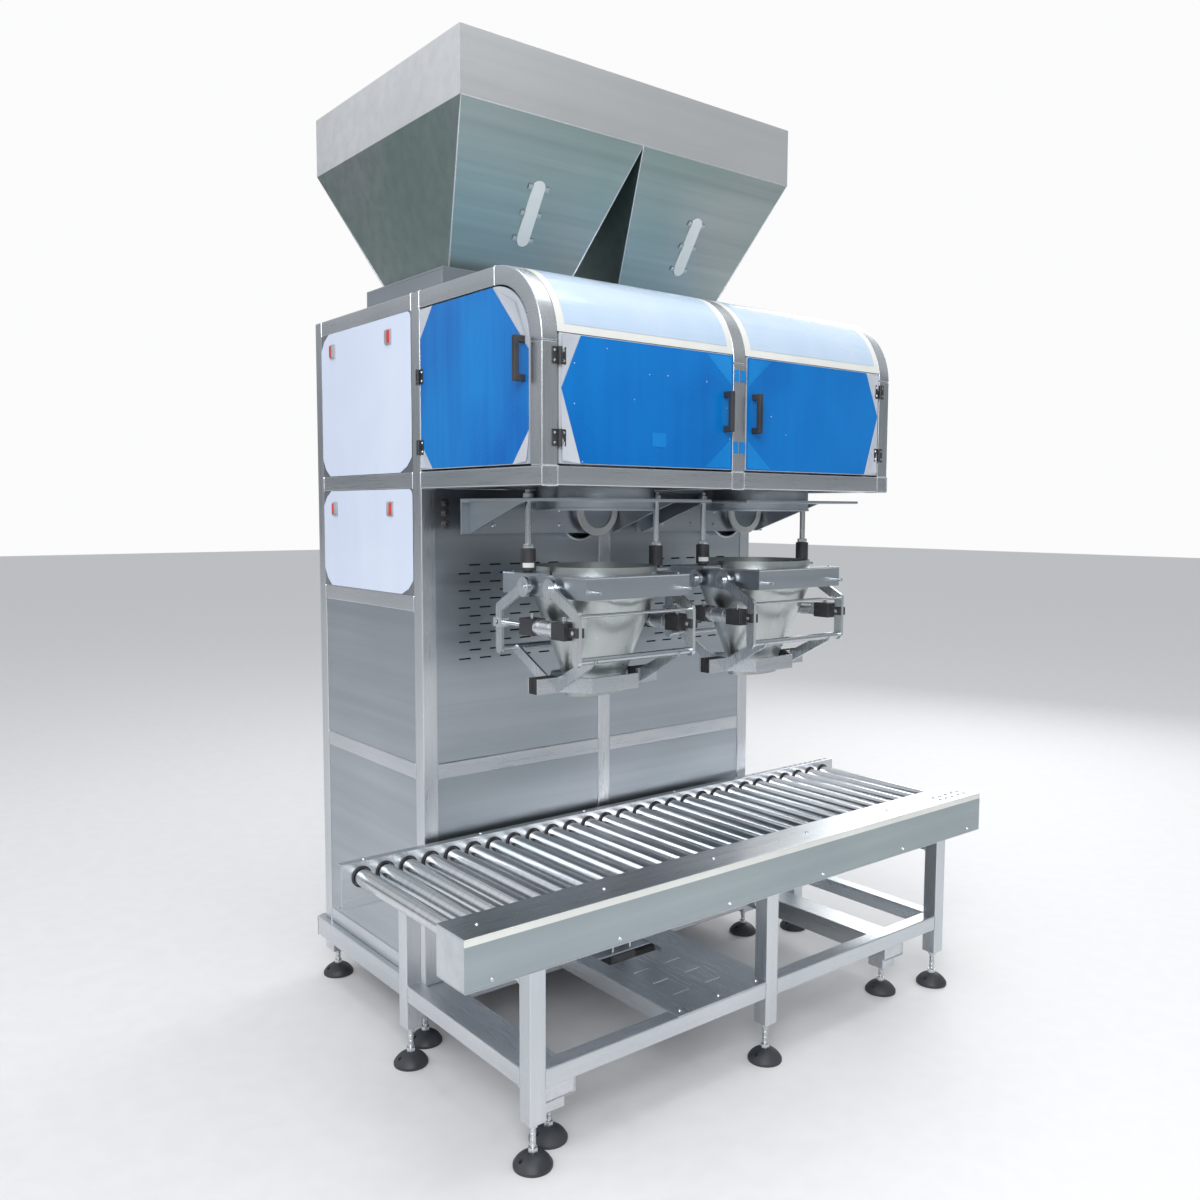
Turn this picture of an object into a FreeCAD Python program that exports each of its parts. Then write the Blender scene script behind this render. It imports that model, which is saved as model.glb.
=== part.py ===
import FreeCAD, Part
import math
import os

# Twin-head weighing and open-mouth bag filling machine over a driven roller conveyor.
# Millimetres, +Z up. The model is laid out in a machine frame: x = 0 at the middle of the
# column, y = 0 on the column's front face, z = 0 on the floor. write_node() moves each
# solid so that the origin is the middle of the machine's footprint, on the floor.

V = FreeCAD.Vector
SIDES = (-1, 1)

# ---- clearances ----
touch_gap = 0.3
pin_clearance = 0.65
spindle_clearance = 0.65

# ---- column ----
tube = 50.0
column_half_width = 700.0
column_depth = 732.0
column_top = 2310.0
side_rail_heights = (848.0, 1364.0, 1735.0)
front_rail_heights = (848.0, 1735.0)
panel_thickness = 2.0
panel_recess = 3.0
support_bar_y = 520.0

# ---- base ----
beam_width = 100.0
beam_bottom = 137.0
beam_height = 70.0
base_front = -655.0
base_overhang = 25.0
left_beam_inset = 30.0
right_beam_outset = 60.0
base_foot_rows = (-604.0, 60.0, 700.0)
bracket_size = 64.0
bracket_height = 44.0

# ---- levelling feet ----
pad_radius = 52.0
pad_height = 38.0
pad_edge = 8.0
pad_neck_radius = 15.0
stud_radius = 8.0
nut_across_flats = 24.0
nut_height = 13.0
nut_bore_radius = 8.3
anchor_hole_radius = 5.5
anchor_hole_offset = 37.0

# ---- enclosure ----
enclosure_depth = 620.0
enclosure_bottom = 1735.0
corner_radius = 215.0
door_bottom_gap = 5.0
door_side_gap = 5.0
door_thickness = 12.0
front_door_top_gap = 2.0
cover_lip_drop = 190.0
cover_thickness = 2.0
header_height = 30.0
header_depth = 30.0
header_gap = 10.0

# ---- door furniture ----
hinge_height = 43.0
hinge_leaf = 21.0
hinge_plate = 3.0
hinge_leaf_gap = 1.0
knuckle_radius = 6.0
hinge_pin_radius = 3.0
knuckle_gap = 0.4
hinge_levels = (1855.0, 2060.0)
handle_length = 115.0
handle_height = 34.0
handle_bar = 14.0
handle_foot = 18.0
front_handle_inset = 28.0
front_handle_level = 1954.0
side_handle_inset = 22.0
side_handle_level = 2055.0
latch_width = 35.0
latch_height = 45.0
latch_thickness = 6.0
latch_columns = (190.0, 590.0)
latch_drop = 60.0
catch_width = 18.0
catch_height = 34.0
catch_inset = 2.0

# ---- feed hopper ----
hopper_half_width = 668.0
hopper_front = -189.0
hopper_rear = 768.0
hopper_band_height = 189.0
hopper_chute_height = 418.0
hopper_wall = 3.0
outlet_inner = 108.0
outlet_outer = 552.0
outlet_front = 80.0
outlet_rear = 484.0
flange_margin = 50.0
flange_thickness = 8.0
neck_height = 82.0
neck_wall = 6.0
window_width = 44.0
window_length = 205.0
window_thickness = 5.0
window_drop = 235.0
window_tab = 16.0

# ---- feed trays and weigh hoppers ----
head_x = 335.0
head_y = -372.0
tray_half_width = 230.0
tray_sheet = 3.0
tray_floor = 2140.0
tray_side_height = 60.0
tray_front = -330.0
tray_rear = 600.0
tray_rod_radius = 7.0
tray_lug = 26.0
drive_box = (120.0, 170.0, 95.0)
weigh_top = 2110.0
weigh_bottom = 1806.0
weigh_half_top_x = 200.0
weigh_half_top_y = 170.0
weigh_half_bottom = 88.0
weigh_wall = 3.0
flap_half = 94.0
flap_thickness = 3.0
flap_hinge_offset = 106.0
flap_pin_radius = 4.0
flap_knuckle_radius = 8.0
flap_lug = 8.0
flap_notch = 12.5

# ---- hanger brackets ----
duct_radius = 171.0
duct_wall = 3.0
duct_top = 1800.0
duct_cap = 6.0
duct_drop = 25.0
hanger_plate_top = 1705.0
hanger_plate = 8.0
hanger_back = -125.0
hanger_front = -585.0
hanger_half_rear = 300.0
hanger_half_front = 262.0
hanger_back_height = 95.0
gusset_reach = 285.0
load_cell = (70.0, 60.0)
suction_offset = 185.0
suction_radius = 78.0
suction_wall = 4.0
suction_length = 62.0
suction_level = 1656.0

# ---- suspension rods ----
rod_offset = 236.0
rod_radius = 9.0
coupling_radius = 21.0
coupling_bottom = 1506.0
coupling_top = 1566.0
coupling_neck = 13.0
rod_nut = 30.0
rod_nut_height = 15.0

# ---- funnel and clamp ----
box_half_x = 189.0
box_half_y = 201.0
box_top = 1492.0
box_height = 62.0
box_sheet = 3.0
collar_radius = 181.0
collar_top = 1514.0
funnel_wall = 2.5
spout_half_x = 100.0
spout_half_y = 52.0
spout_top = 1172.0
spout_bottom = 1138.0
ear_thickness = 8.0
ear_half_width = 30.0
ear_gap = 2.3
ear_margin = 4.0
guide_stud_radius = 5.0
guide_stud_reach = 32.0
guide_stud_inset = 26.0
guide_stud_rise = 22.0
arm_offset = 19.0
arm_thickness = 10.0
arm_half_width = 15.0
arm_head_radius = 29.0
pivot_offset = 63.0
pivot_level = 1455.0
pivot_pin_radius = 8.0
pivot_boss_radius = 15.0
pivot_head_radius = 14.0
pivot_head = 8.0
knee_offset = 188.0
knee_level = 1388.0
tie_level = 1266.0
tie_radius = 10.0
upper_tie_radius = 5.0
jaw_bottom = 1155.0
jaw_height = 45.0
jaw_strip = 6.0
jaw_pad_thickness = 18.0
jaw_half_gap = 1.0
jaw_end = 222.0
jaw_flat = 142.0
jaw_belly = 84.0
jaw_belly_offset = 92.0
jaw_hanger_width = 8.0
jaw_hanger_inset = 6.0
jaw_hanger_foot = 4.0
jaw_hanger_shoulder = 2.0
hanger_eye_wall = 6.0
hanger_eye_high = 0.6
hanger_eye_low = 0.2
cylinder_level = 1345.0
cylinder_radius = 23.0
cylinder_wall = 3.0
cylinder_cap = 48.0
cylinder_cap_rear = 62.0
cylinder_front_cap = 60.0
cylinder_barrel = 92.0
cylinder_pin_radius = 6.0
cylinder_pin_end = 3.0
fork_cheek = 8.0
fork_half_height = 13.0
fork_reach = 16.0
fork_relief = 4.0
piston_rod_radius = 7.0
piston_length = 12.0
piston_gap = 4.0
fork_slot = 3.0

# ---- conveyor ----
conveyor_left_overhang = 224.0
conveyor_right_overhang = 200.0
rail_bottom = 531.0
rail_height = 134.0
rail_sheet = 3.0
case_front = -720.0
case_depth = 134.0
rear_rail_y = -49.0
rear_rail_depth = 25.0
roller_count = 28
roller_pitch = 75.0
roller_radius = 25.0
roller_wall = 2.5
roller_axis_drop = 45.0
roller_end_gap = 2.0
spindle_radius = 8.0
spindle_disc = 12.0
spindle_disc_gap = 0.1
spindle_front_end = 4.0
spindle_rear_end = 6.0
sprocket_radius = 28.0
sprocket_width = 8.0
sprocket_gap = 9.0

# ---- stand and deck ----
left_leg_gap = 100.0
middle_leg_x = 93.0
right_leg_gap = 196.0
leg_front_y = -676.0
leg_rear_y = -30.0
leg_bottom = 118.0
plinth_gap = 3.0
deck_left = -289.0
deck_thickness = 3.0
deck_opening = (-230.0, -12.0, -320.0, -100.0)
deck_slot_length = 60.0
deck_slot_width = 6.0
deck_slot_margin = 60.0
deck_slot_pitch = (130.0, 90.0)
deck_slot_grid = (2, 3)
motor_radius = 41.6
motor_length = 92.0
gearbox = (100.0, 90.0, 84.0)
motor_plate = 6.0
motor_plate_margin = 24.0
motor_stud_radius = 5.0
motor_stud_height = 34.0
motor_stud_spread = 0.36

# ---- derived places ----
left_beam_x = left_beam_inset - column_half_width
right_beam_x = column_half_width + right_beam_outset
leg_rows_x = (left_beam_x - left_leg_gap, middle_leg_x, right_beam_x + right_leg_gap)
conveyor_left = leg_rows_x[0] - conveyor_left_overhang
conveyor_right = leg_rows_x[2] + conveyor_right_overhang
case_inner = case_front + case_depth
rail_top = rail_bottom + rail_height
roller_axis_z = rail_top - roller_axis_drop
base_top = beam_bottom + beam_height
column_bottom = base_top
stand_rail_bottom = base_top
enclosure_front = -enclosure_depth
cover_lip = column_top - cover_lip_drop
front_door_top = cover_lip - front_door_top_gap
flange_top = column_top + neck_height + flange_thickness
hopper_shoulder = flange_top + hopper_chute_height
hopper_top = hopper_shoulder + hopper_band_height
window_level = hopper_shoulder - window_drop
flap_lug_inner = flap_half / 2 + touch_gap
flap_lug_outer = flap_lug_inner + flap_lug
arm_plane = box_half_x + arm_offset
roller_first = (conveyor_left + conveyor_right - (roller_count - 1) * roller_pitch) / 2
foot_front_reach = leg_front_y - pad_radius
origin = V((conveyor_left + conveyor_right) / 2, (foot_front_reach + hopper_rear) / 2, 0)


def box(xa, xb, ya, yb, za, zb):
    """A box between two corners, given in any order."""
    low = V(min(xa, xb), min(ya, yb), min(za, zb))
    return Part.makeBox(abs(xb - xa), abs(yb - ya), abs(zb - za), low)


def rod(radius, start, end):
    """A round bar from one point to another."""
    return Part.makeCylinder(radius, (end - start).Length, start, end - start)


def ring(outer, inner, start, end):
    """A round sleeve from one point to another."""
    reach = (end - start).normalize() * 1.0
    return rod(outer, start, end).cut(rod(inner, start - reach, end + reach))


def prism(points, travel):
    """A flat polygon swept along a straight line."""
    return Part.Face(Part.makePolygon(points + points[:1])).extrude(travel)


def prism_yz(outline, xa, xb):
    """A plate across X, outlined by (y, z) points."""
    return prism([V(xa, y, z) for y, z in outline], V(xb - xa, 0, 0))


def prism_xy(outline, za, zb):
    """A plate lying flat, outlined by (x, y) points."""
    return prism([V(x, y, za) for x, y in outline], V(0, 0, zb - za))


def polar_yz(x, centre, radius, degrees):
    """A point on a circle across X; 0 degrees is forward (-Y) and 90 is up."""
    angle = math.radians(degrees)
    return V(x, centre[0] - radius * math.cos(angle), centre[1] + radius * math.sin(angle))


def bent_bar(centre, inner, outer, start, end, xa, xb):
    """A bar across X that bends about a centre in the YZ plane."""
    middle = (start + end) / 2
    outer_arc = Part.Arc(*[polar_yz(xa, centre, outer, a) for a in (start, middle, end)])
    inner_arc = Part.Arc(*[polar_yz(xa, centre, inner, a) for a in (end, middle, start)])
    side_one = Part.LineSegment(outer_arc.EndPoint, inner_arc.StartPoint)
    side_two = Part.LineSegment(inner_arc.EndPoint, outer_arc.StartPoint)
    wire = Part.Wire([e.toShape() for e in (outer_arc, side_one, inner_arc, side_two)])
    return Part.Face(wire).extrude(V(xb - xa, 0, 0))


def link_yz(start, end, radius, xa, xb):
    """A flat link with round ends across X, between two (y, z) centres."""
    along = V(0, end[0] - start[0], end[1] - start[1]).normalize() * radius
    across = V(0, -along.z, along.y)
    a = V(xa, start[0], start[1])
    b = V(xa, end[0], end[1])
    edges = [
        Part.LineSegment(a + across, b + across),
        Part.Arc(b + across, b + along, b - across),
        Part.LineSegment(b - across, a - across),
        Part.Arc(a - across, a - along, a + across),
    ]
    return Part.Face(Part.Wire([e.toShape() for e in edges])).extrude(V(xb - xa, 0, 0))


def hexahedron(top, bottom):
    """A solid with flat faces between four top and four bottom corners, in the same order."""
    faces = [top, bottom]
    for i in range(4):
        j = (i + 1) % 4
        faces.append([top[i], top[j], bottom[j], bottom[i]])
    shell = Part.makeShell([Part.Face(Part.makePolygon(f + f[:1])) for f in faces])
    solid = Part.makeSolid(shell)
    return solid if solid.Volume > 0 else solid.reversed()


def chute_walls(top_rect, top_z, bottom_rect, bottom_z, wall):
    """The four mitred walls of a rectangular chute; each rectangle is (x0, x1, y0, y1)."""

    def corners(rect, inset, z):
        x0, x1, y0, y1 = rect
        inner = (x0 + inset, x1 - inset, y0 + inset, y1 - inset)
        return [V(inner[0], inner[2], z), V(inner[1], inner[2], z),
                V(inner[1], inner[3], z), V(inner[0], inner[3], z)]

    outer_top = corners(top_rect, 0, top_z)
    inner_top = corners(top_rect, wall, top_z)
    outer_bottom = corners(bottom_rect, 0, bottom_z)
    inner_bottom = corners(bottom_rect, wall, bottom_z)
    walls = []
    for i in range(4):
        j = (i + 1) % 4
        top = [outer_top[i], outer_top[j], inner_top[j], inner_top[i]]
        bottom = [outer_bottom[i], outer_bottom[j], inner_bottom[j], inner_bottom[i]]
        walls.append(hexahedron(top, bottom))
    return walls


def rectangle_frame(rect, hole, z0, z1):
    """Four flat strips around a rectangular hole; each rectangle is (x0, x1, y0, y1)."""
    x0, x1, y0, y1 = rect
    hx0, hx1, hy0, hy1 = hole
    return [
        box(x0, x1, y0, hy0, z0, z1),
        box(x0, x1, hy1, y1, z0, z1),
        box(x0, hx0, hy0, hy1, z0, z1),
        box(hx1, x1, hy0, hy1, z0, z1),
    ]


def write_node(name, solids):
    """Move the solids to the footprint's origin and write them as one node."""
    moved = []
    for solid in solids:
        shape = solid.copy()
        shape.translate(origin * -1)
        moved.append(shape)
    Part.makeCompound(moved).exportStep(f"parts/{name}.step")
    print(name, len(moved), "solids, all valid:", all(s.isValid() for s in moved))


# ---- base and feet ----

def leg_rear_centre(x):
    """A rear leg stands under the rear rail, or clear of the plinth where it passes it."""
    beside_plinth = left_beam_x - beam_width / 2 < x < right_beam_x + beam_width / 2
    if beside_plinth:
        return -(base_overhang + plinth_gap + tube / 2)
    return leg_rear_y


def foot_places():
    """Each levelling foot as (x, y, height of the surface it carries)."""
    places = []
    for x in (left_beam_x, right_beam_x):
        for y in base_foot_rows:
            places.append((x, y, beam_bottom - bracket_height))
    for x in leg_rows_x:
        places.append((x, leg_front_y, leg_bottom))
        places.append((x, leg_rear_centre(x), leg_bottom))
    return places


def base_frame():
    """Two long outrigger beams, three cross beams and a bracket over each foot."""
    rear = column_depth + base_overhang
    inner_left = left_beam_x + beam_width / 2
    inner_right = right_beam_x - beam_width / 2
    solids = []
    for x in (left_beam_x, right_beam_x):
        solids.append(box(x - beam_width / 2, x + beam_width / 2, base_front, rear, beam_bottom, base_top))
        for y in base_foot_rows:
            half = bracket_size / 2
            solids.append(box(x - half, x + half, y - half, y + half, beam_bottom - bracket_height, beam_bottom))
    for y0 in (-base_overhang, (column_depth - beam_height) / 2, rear - beam_height):
        solids.append(box(inner_left, inner_right, y0, y0 + beam_height, beam_bottom, base_top))
    return solids


def hex_nut(x, y, z0):
    """A hexagon nut with a bore for the foot's stud."""
    corner = nut_across_flats / math.sqrt(3)
    angles = [math.radians(60 * i) for i in range(6)]
    outline = [(x + corner * math.cos(a), y + corner * math.sin(a)) for a in angles]
    nut = prism_xy(outline, z0, z0 + nut_height)
    return nut.cut(rod(nut_bore_radius, V(x, y, z0 - 1), V(x, y, z0 + nut_height + 1)))


def leveling_foot(x, y, carried):
    """A domed pad with two anchor holes, its stud and two lock nuts."""
    rim = V(pad_radius, 0, pad_edge)
    shoulder = V(pad_radius * 0.72, 0, pad_height * 0.68)
    neck = V(pad_neck_radius, 0, pad_height)
    edges = [
        Part.LineSegment(V(0, 0, 0), V(pad_radius, 0, 0)),
        Part.LineSegment(V(pad_radius, 0, 0), rim),
        Part.Arc(rim, shoulder, neck),
        Part.LineSegment(neck, V(0, 0, pad_height)),
        Part.LineSegment(V(0, 0, pad_height), V(0, 0, 0)),
    ]
    profile = Part.Face(Part.Wire([e.toShape() for e in edges]))
    pad = profile.revolve(V(0, 0, 0), V(0, 0, 1), 360)
    for side in SIDES:
        hole_x = side * anchor_hole_offset
        pad = pad.cut(rod(anchor_hole_radius, V(hole_x, 0, -1), V(hole_x, 0, pad_height)))
    pad.translate(V(x, y, 0))
    stud = rod(stud_radius, V(x, y, pad_height), V(x, y, carried))
    return [pad, stud, hex_nut(x, y, pad_height), hex_nut(x, y, carried - nut_height)]


# ---- column ----

def column_frame():
    """Six posts with side, front and rear rails, all of square tube."""
    solids = []
    inner = column_half_width - tube
    rear_inner = column_depth - tube
    for y0 in (0, rear_inner):
        for x0 in (-column_half_width, -tube / 2, inner):
            solids.append(box(x0, x0 + tube, y0, y0 + tube, column_bottom, column_top))
    ends = (column_bottom, column_top - tube)
    for side in SIDES:
        for z0 in side_rail_heights + ends:
            solids.append(box(side * inner, side * column_half_width, tube, rear_inner, z0, z0 + tube))
        for z0 in front_rail_heights + ends:
            for y0 in (0, rear_inner):
                solids.append(box(side * tube / 2, side * inner, y0, y0 + tube, z0, z0 + tube))
        z0 = column_top - tube
        y0 = support_bar_y
        solids.append(box(side * tube / 2, side * inner, y0, y0 + tube, z0, column_top))
    solids.append(box(-tube / 2, tube / 2, tube, rear_inner, column_top - tube, column_top))
    return solids


def bays(rail_heights):
    """The clear heights between the rails, from the bottom up."""
    lows = [column_bottom + tube] + [z + tube for z in rail_heights]
    highs = list(rail_heights) + [column_top - tube]
    return list(zip(lows, highs))


def column_panels():
    """Sheet panels set in from the frame's face: lower sides, front foot, the back and the top."""
    solids = []
    inner = column_half_width - tube
    side_bays = bays(side_rail_heights)
    front_bays = bays(front_rail_heights)
    outer_x = column_half_width - panel_recess
    rear_y = column_depth - panel_recess
    for side in SIDES:
        for z0, z1 in side_bays[:2]:
            solids.append(box(side * (outer_x - panel_thickness), side * outer_x,
                              tube, column_depth - tube, z0, z1))
        z0, z1 = front_bays[0]
        solids.append(box(side * tube / 2, side * inner, panel_recess,
                          panel_recess + panel_thickness, z0, z1))
        for z0, z1 in front_bays:
            solids.append(box(side * tube / 2, side * inner, rear_y - panel_thickness, rear_y, z0, z1))
        neck_near = side * (outlet_inner - flange_margin)
        neck_far = side * (outlet_outer + flange_margin)
        lid_top = column_top - panel_recess
        lid_low = lid_top - panel_thickness
        solids.append(box(side * tube / 2, neck_near, tube, support_bar_y, lid_low, lid_top))
        solids.append(box(neck_far, side * inner, tube, support_bar_y, lid_low, lid_top))
        solids.append(box(side * tube / 2, side * inner, support_bar_y + tube,
                          column_depth - tube, lid_low, lid_top))
    return solids


def louver_panels():
    """The two front panels behind the bag space."""
    z0, z1 = bays(front_rail_heights)[1]
    inner = column_half_width - tube
    deep = panel_recess + panel_thickness
    return [box(side * tube / 2, side * inner, panel_recess, deep, z0, z1) for side in SIDES]


def latched_side_panels():
    """Lift-off panels in the two upper bays of each side, flush with the frame."""
    solids = []
    for side in SIDES:
        for z0, z1 in bays(side_rail_heights)[2:]:
            solids.append(box(side * (column_half_width - panel_thickness), side * column_half_width,
                              tube, column_depth - tube, z0, z1))
    return solids


# ---- enclosure ----

def arch_centre():
    """The (y, z) centre of the rounded front-top corner."""
    return (enclosure_front + corner_radius, column_top - corner_radius)


def enclosure_frame():
    """Three arches, their bottom rails, and the cross rails above and below the front doors."""
    centre = arch_centre()
    front_inner = enclosure_front + tube
    bottom_top = enclosure_bottom + tube
    inner = column_half_width - tube
    solids = []
    for x0 in (-column_half_width, -tube / 2, inner):
        x1 = x0 + tube
        solids.append(box(x0, x1, enclosure_front, 0, enclosure_bottom, bottom_top))
        solids.append(box(x0, x1, enclosure_front, front_inner, bottom_top, centre[1]))
        solids.append(bent_bar(centre, corner_radius - tube, corner_radius, 0, 90, x0, x1))
        solids.append(box(x0, x1, centre[0], 0, column_top - tube, column_top))
    header_low = cover_lip + cover_thickness
    header_high = header_low + header_height
    cover_inner = corner_radius - cover_thickness
    header_front = centre[0] + header_gap - math.sqrt(cover_inner ** 2 - (header_high - centre[1]) ** 2)
    for side in SIDES:
        near = side * tube / 2
        far = side * inner
        solids.append(box(near, far, enclosure_front, front_inner, enclosure_bottom, bottom_top))
        solids.append(box(near, far, header_front, header_front + header_depth, header_low, header_high))
    return solids


def top_covers():
    """Bent sheets between the arches, over the top and round the front corner."""
    centre = arch_centre()
    lip_angle = math.degrees(math.asin((cover_lip - centre[1]) / corner_radius))
    inner_radius = corner_radius - cover_thickness
    solids = []
    for side in SIDES:
        near = side * tube / 2
        far = side * (column_half_width - tube)
        bend = bent_bar(centre, inner_radius, corner_radius, lip_angle, 90, near, far)
        flat = box(near, far, centre[0], 0, column_top - cover_thickness, column_top)
        solids.append(bend.fuse(flat).removeSplitter().Solids[0])
    return solids


def hinge(axis, still, moving, out, level):
    """The fixed half with its pin, and the swinging half, of one small leaf hinge.

    axis is the pin's (x, y); still, moving and out are unit directions in plan.
    """

    def leaf(direction, reach0, reach1, z0, z1):
        rise = knuckle_radius + touch_gap
        a = axis + direction * reach0 - out * rise
        b = axis + direction * reach1 - out * (rise - hinge_plate)
        return box(a.x, b.x, a.y, b.y, z0, z1)

    low = level - hinge_height / 2
    third = hinge_height / 3
    clear = knuckle_radius + hinge_leaf_gap
    fixed = leaf(still, clear, hinge_leaf, low, low + hinge_height)
    swing = leaf(moving, clear, hinge_leaf, low, low + hinge_height)
    for i in range(3):
        z0 = low + i * third
        z1 = z0 + third
        start = V(axis.x, axis.y, z0)
        if i == 1:
            z0 += knuckle_gap
            z1 -= knuckle_gap
            start.z = z0
        barrel = rod(knuckle_radius, start, V(axis.x, axis.y, z1))
        if i == 1:
            swing = swing.fuse(barrel).fuse(leaf(moving, 0, clear, z0, z1))
        else:
            fixed = fixed.fuse(barrel).fuse(leaf(still, 0, clear, z0, z1))
    bore = rod(hinge_pin_radius + pin_clearance, V(axis.x, axis.y, low), V(axis.x, axis.y, low + hinge_height))
    swing = swing.cut(bore)
    pin = rod(hinge_pin_radius, V(axis.x, axis.y, low), V(axis.x, axis.y, low + hinge_height))
    fixed = fixed.fuse(pin).removeSplitter()
    return fixed.Solids[0], swing.removeSplitter().Solids[0]


def front_hinge_axis(side):
    """The front door's pin in plan, in front of the gap beside the outer post."""
    return V(side * (column_half_width - tube - door_side_gap / 2),
             enclosure_front - knuckle_radius - touch_gap, 0)


def side_hinge_axis(side):
    """The side door's pin in plan, beside the gap in front of the column."""
    return V(side * (column_half_width + knuckle_radius + touch_gap), -door_side_gap / 2, 0)


def door_hinges(side, where):
    """The (fixed, swinging) halves of one door's two hinges."""
    if where == "front":
        axis = front_hinge_axis(side)
        still = V(side, 0, 0)
        moving = V(-side, 0, 0)
        out = V(0, -1, 0)
    else:
        axis = side_hinge_axis(side)
        still = V(0, 1, 0)
        moving = V(0, -1, 0)
        out = V(side, 0, 0)
    return [hinge(axis, still, moving, out, level) for level in hinge_levels]


def bar_handle(face, out, level):
    """An upright bar handle with two feet on a door's face."""
    across = V(-out.y, out.x, 0) * (handle_bar / 2)
    low = level - handle_length / 2
    high = level + handle_length / 2

    def block(reach0, reach1, z0, z1):
        a = face + out * reach0 - across
        b = face + out * reach1 + across
        return box(a.x, b.x, a.y, b.y, z0, z1)

    handle = block(handle_height - handle_bar, handle_height, low, high)
    handle = handle.fuse(block(0, handle_height - handle_bar, low, low + handle_foot))
    handle = handle.fuse(block(0, handle_height - handle_bar, high - handle_foot, high))
    return handle.removeSplitter().Solids[0]


def front_door(side):
    """A sheet door between two arches, with its swinging hinge halves and its handle."""
    near = side * (tube / 2 + door_side_gap)
    far = side * (column_half_width - tube - door_side_gap)
    low = enclosure_bottom + tube + door_bottom_gap
    slab = box(near, far, enclosure_front, enclosure_front + door_thickness, low, front_door_top)
    face = V(near + side * front_handle_inset, enclosure_front, 0)
    solids = [slab, bar_handle(face, V(0, -1, 0), front_handle_level)]
    solids.extend(swing for fixed, swing in door_hinges(side, "front"))
    return solids


def side_door(side):
    """A sheet door with a rounded front-top corner that fills one side of the enclosure."""
    centre = arch_centre()
    front = enclosure_front + tube + door_side_gap
    rear = -door_side_gap
    low = enclosure_bottom + tube + door_bottom_gap
    high = column_top - tube - door_bottom_gap
    radius = corner_radius - tube - door_side_gap
    x0 = side * column_half_width
    slab = box(x0, x0 - side * door_thickness, front, rear, low, high)
    corner = box(x0 + side, x0 - side * (door_thickness + 1), front - 1, centre[0], centre[1], high + 1)
    round_part = rod(radius, V(x0 + side, centre[0], centre[1]),
                     V(x0 - side * (door_thickness + 1), centre[0], centre[1]))
    slab = slab.cut(corner.cut(round_part)).removeSplitter().Solids[0]
    face = V(x0, front + side_handle_inset, 0)
    solids = [slab, bar_handle(face, V(side, 0, 0), side_handle_level)]
    solids.extend(swing for fixed, swing in door_hinges(side, "side"))
    return solids


def door_hardware():
    """Fixed hinge halves, the catches on the centre post, and the side panels' latches."""
    solids = []
    for side in SIDES:
        for where in ("front", "side"):
            solids.extend(fixed for fixed, swing in door_hinges(side, where))
        for level in hinge_levels:
            near = side * (tube / 2 - catch_width - catch_inset)
            far = side * (tube / 2 - catch_inset)
            solids.append(box(near, far, enclosure_front - hinge_plate, enclosure_front,
                              level - catch_height / 2, level + catch_height / 2))
        for z0, z1 in bays(side_rail_heights)[2:]:
            for y in latch_columns:
                top = z1 - latch_drop + latch_height / 2
                solids.append(box(side * column_half_width, side * (column_half_width + latch_thickness),
                                  y - latch_width / 2, y + latch_width / 2, top - latch_height, top))
    return solids


# ---- feed hopper ----

def outlet_rect(side):
    """One outlet as (x0, x1, y0, y1)."""
    x0, x1 = sorted((side * outlet_inner, side * outlet_outer))
    return (x0, x1, outlet_front, outlet_rear)


def feed_hopper():
    """An open band over two tapered chutes that meet along a ridge."""
    rim = (-hopper_half_width, hopper_half_width, hopper_front, hopper_rear)
    solids = chute_walls(rim, hopper_top, rim, hopper_shoulder, hopper_wall)
    for side in SIDES:
        x0, x1 = sorted((0, side * hopper_half_width))
        mouth = (x0, x1, hopper_front, hopper_rear)
        solids += chute_walls(mouth, hopper_shoulder, outlet_rect(side), flange_top, hopper_wall)
    return solids


def front_wall_frame(x, level):
    """A point on the hopper's sloping front wall, its outward normal and its slope direction."""
    drop = hopper_shoulder - flange_top
    run = outlet_front - hopper_front
    slope = V(0, -run, drop).normalize()
    y = hopper_front + run * (hopper_shoulder - level) / drop
    return V(x, y, level), slope.cross(V(1, 0, 0)), slope


def sight_window(side):
    """An obround window plate on the front wall, with six clamping tabs."""
    x = side * (outlet_inner + outlet_outer) / 2
    centre, normal, slope = front_wall_frame(x, window_level)
    if normal.y > 0:
        normal = normal * -1
    radius = window_width / 2
    half = window_length / 2 - radius
    across = V(radius, 0, 0)
    a = centre - slope * half
    b = centre + slope * half
    edges = [
        Part.LineSegment(a + across, b + across),
        Part.Arc(b + across, b + slope * radius, b - across),
        Part.LineSegment(b - across, a - across),
        Part.Arc(a - across, a - slope * radius, a + across),
    ]
    plate = Part.Face(Part.Wire([e.toShape() for e in edges])).extrude(normal * window_thickness)
    solids = [plate]
    tab_half = window_tab / 2
    for step in (-1, 0, 1):
        for turn in SIDES:
            middle = centre + slope * (step * half) + V(turn * (radius + tab_half), 0, 0)
            corners = [middle + V(i * tab_half, 0, 0) + slope * (j * tab_half)
                       for i, j in ((-1, -1), (1, -1), (1, 1), (-1, 1))]
            solids.append(prism(corners, normal * window_thickness))
    return solids


# ---- feed trays, weigh hoppers and their flaps ----

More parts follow.
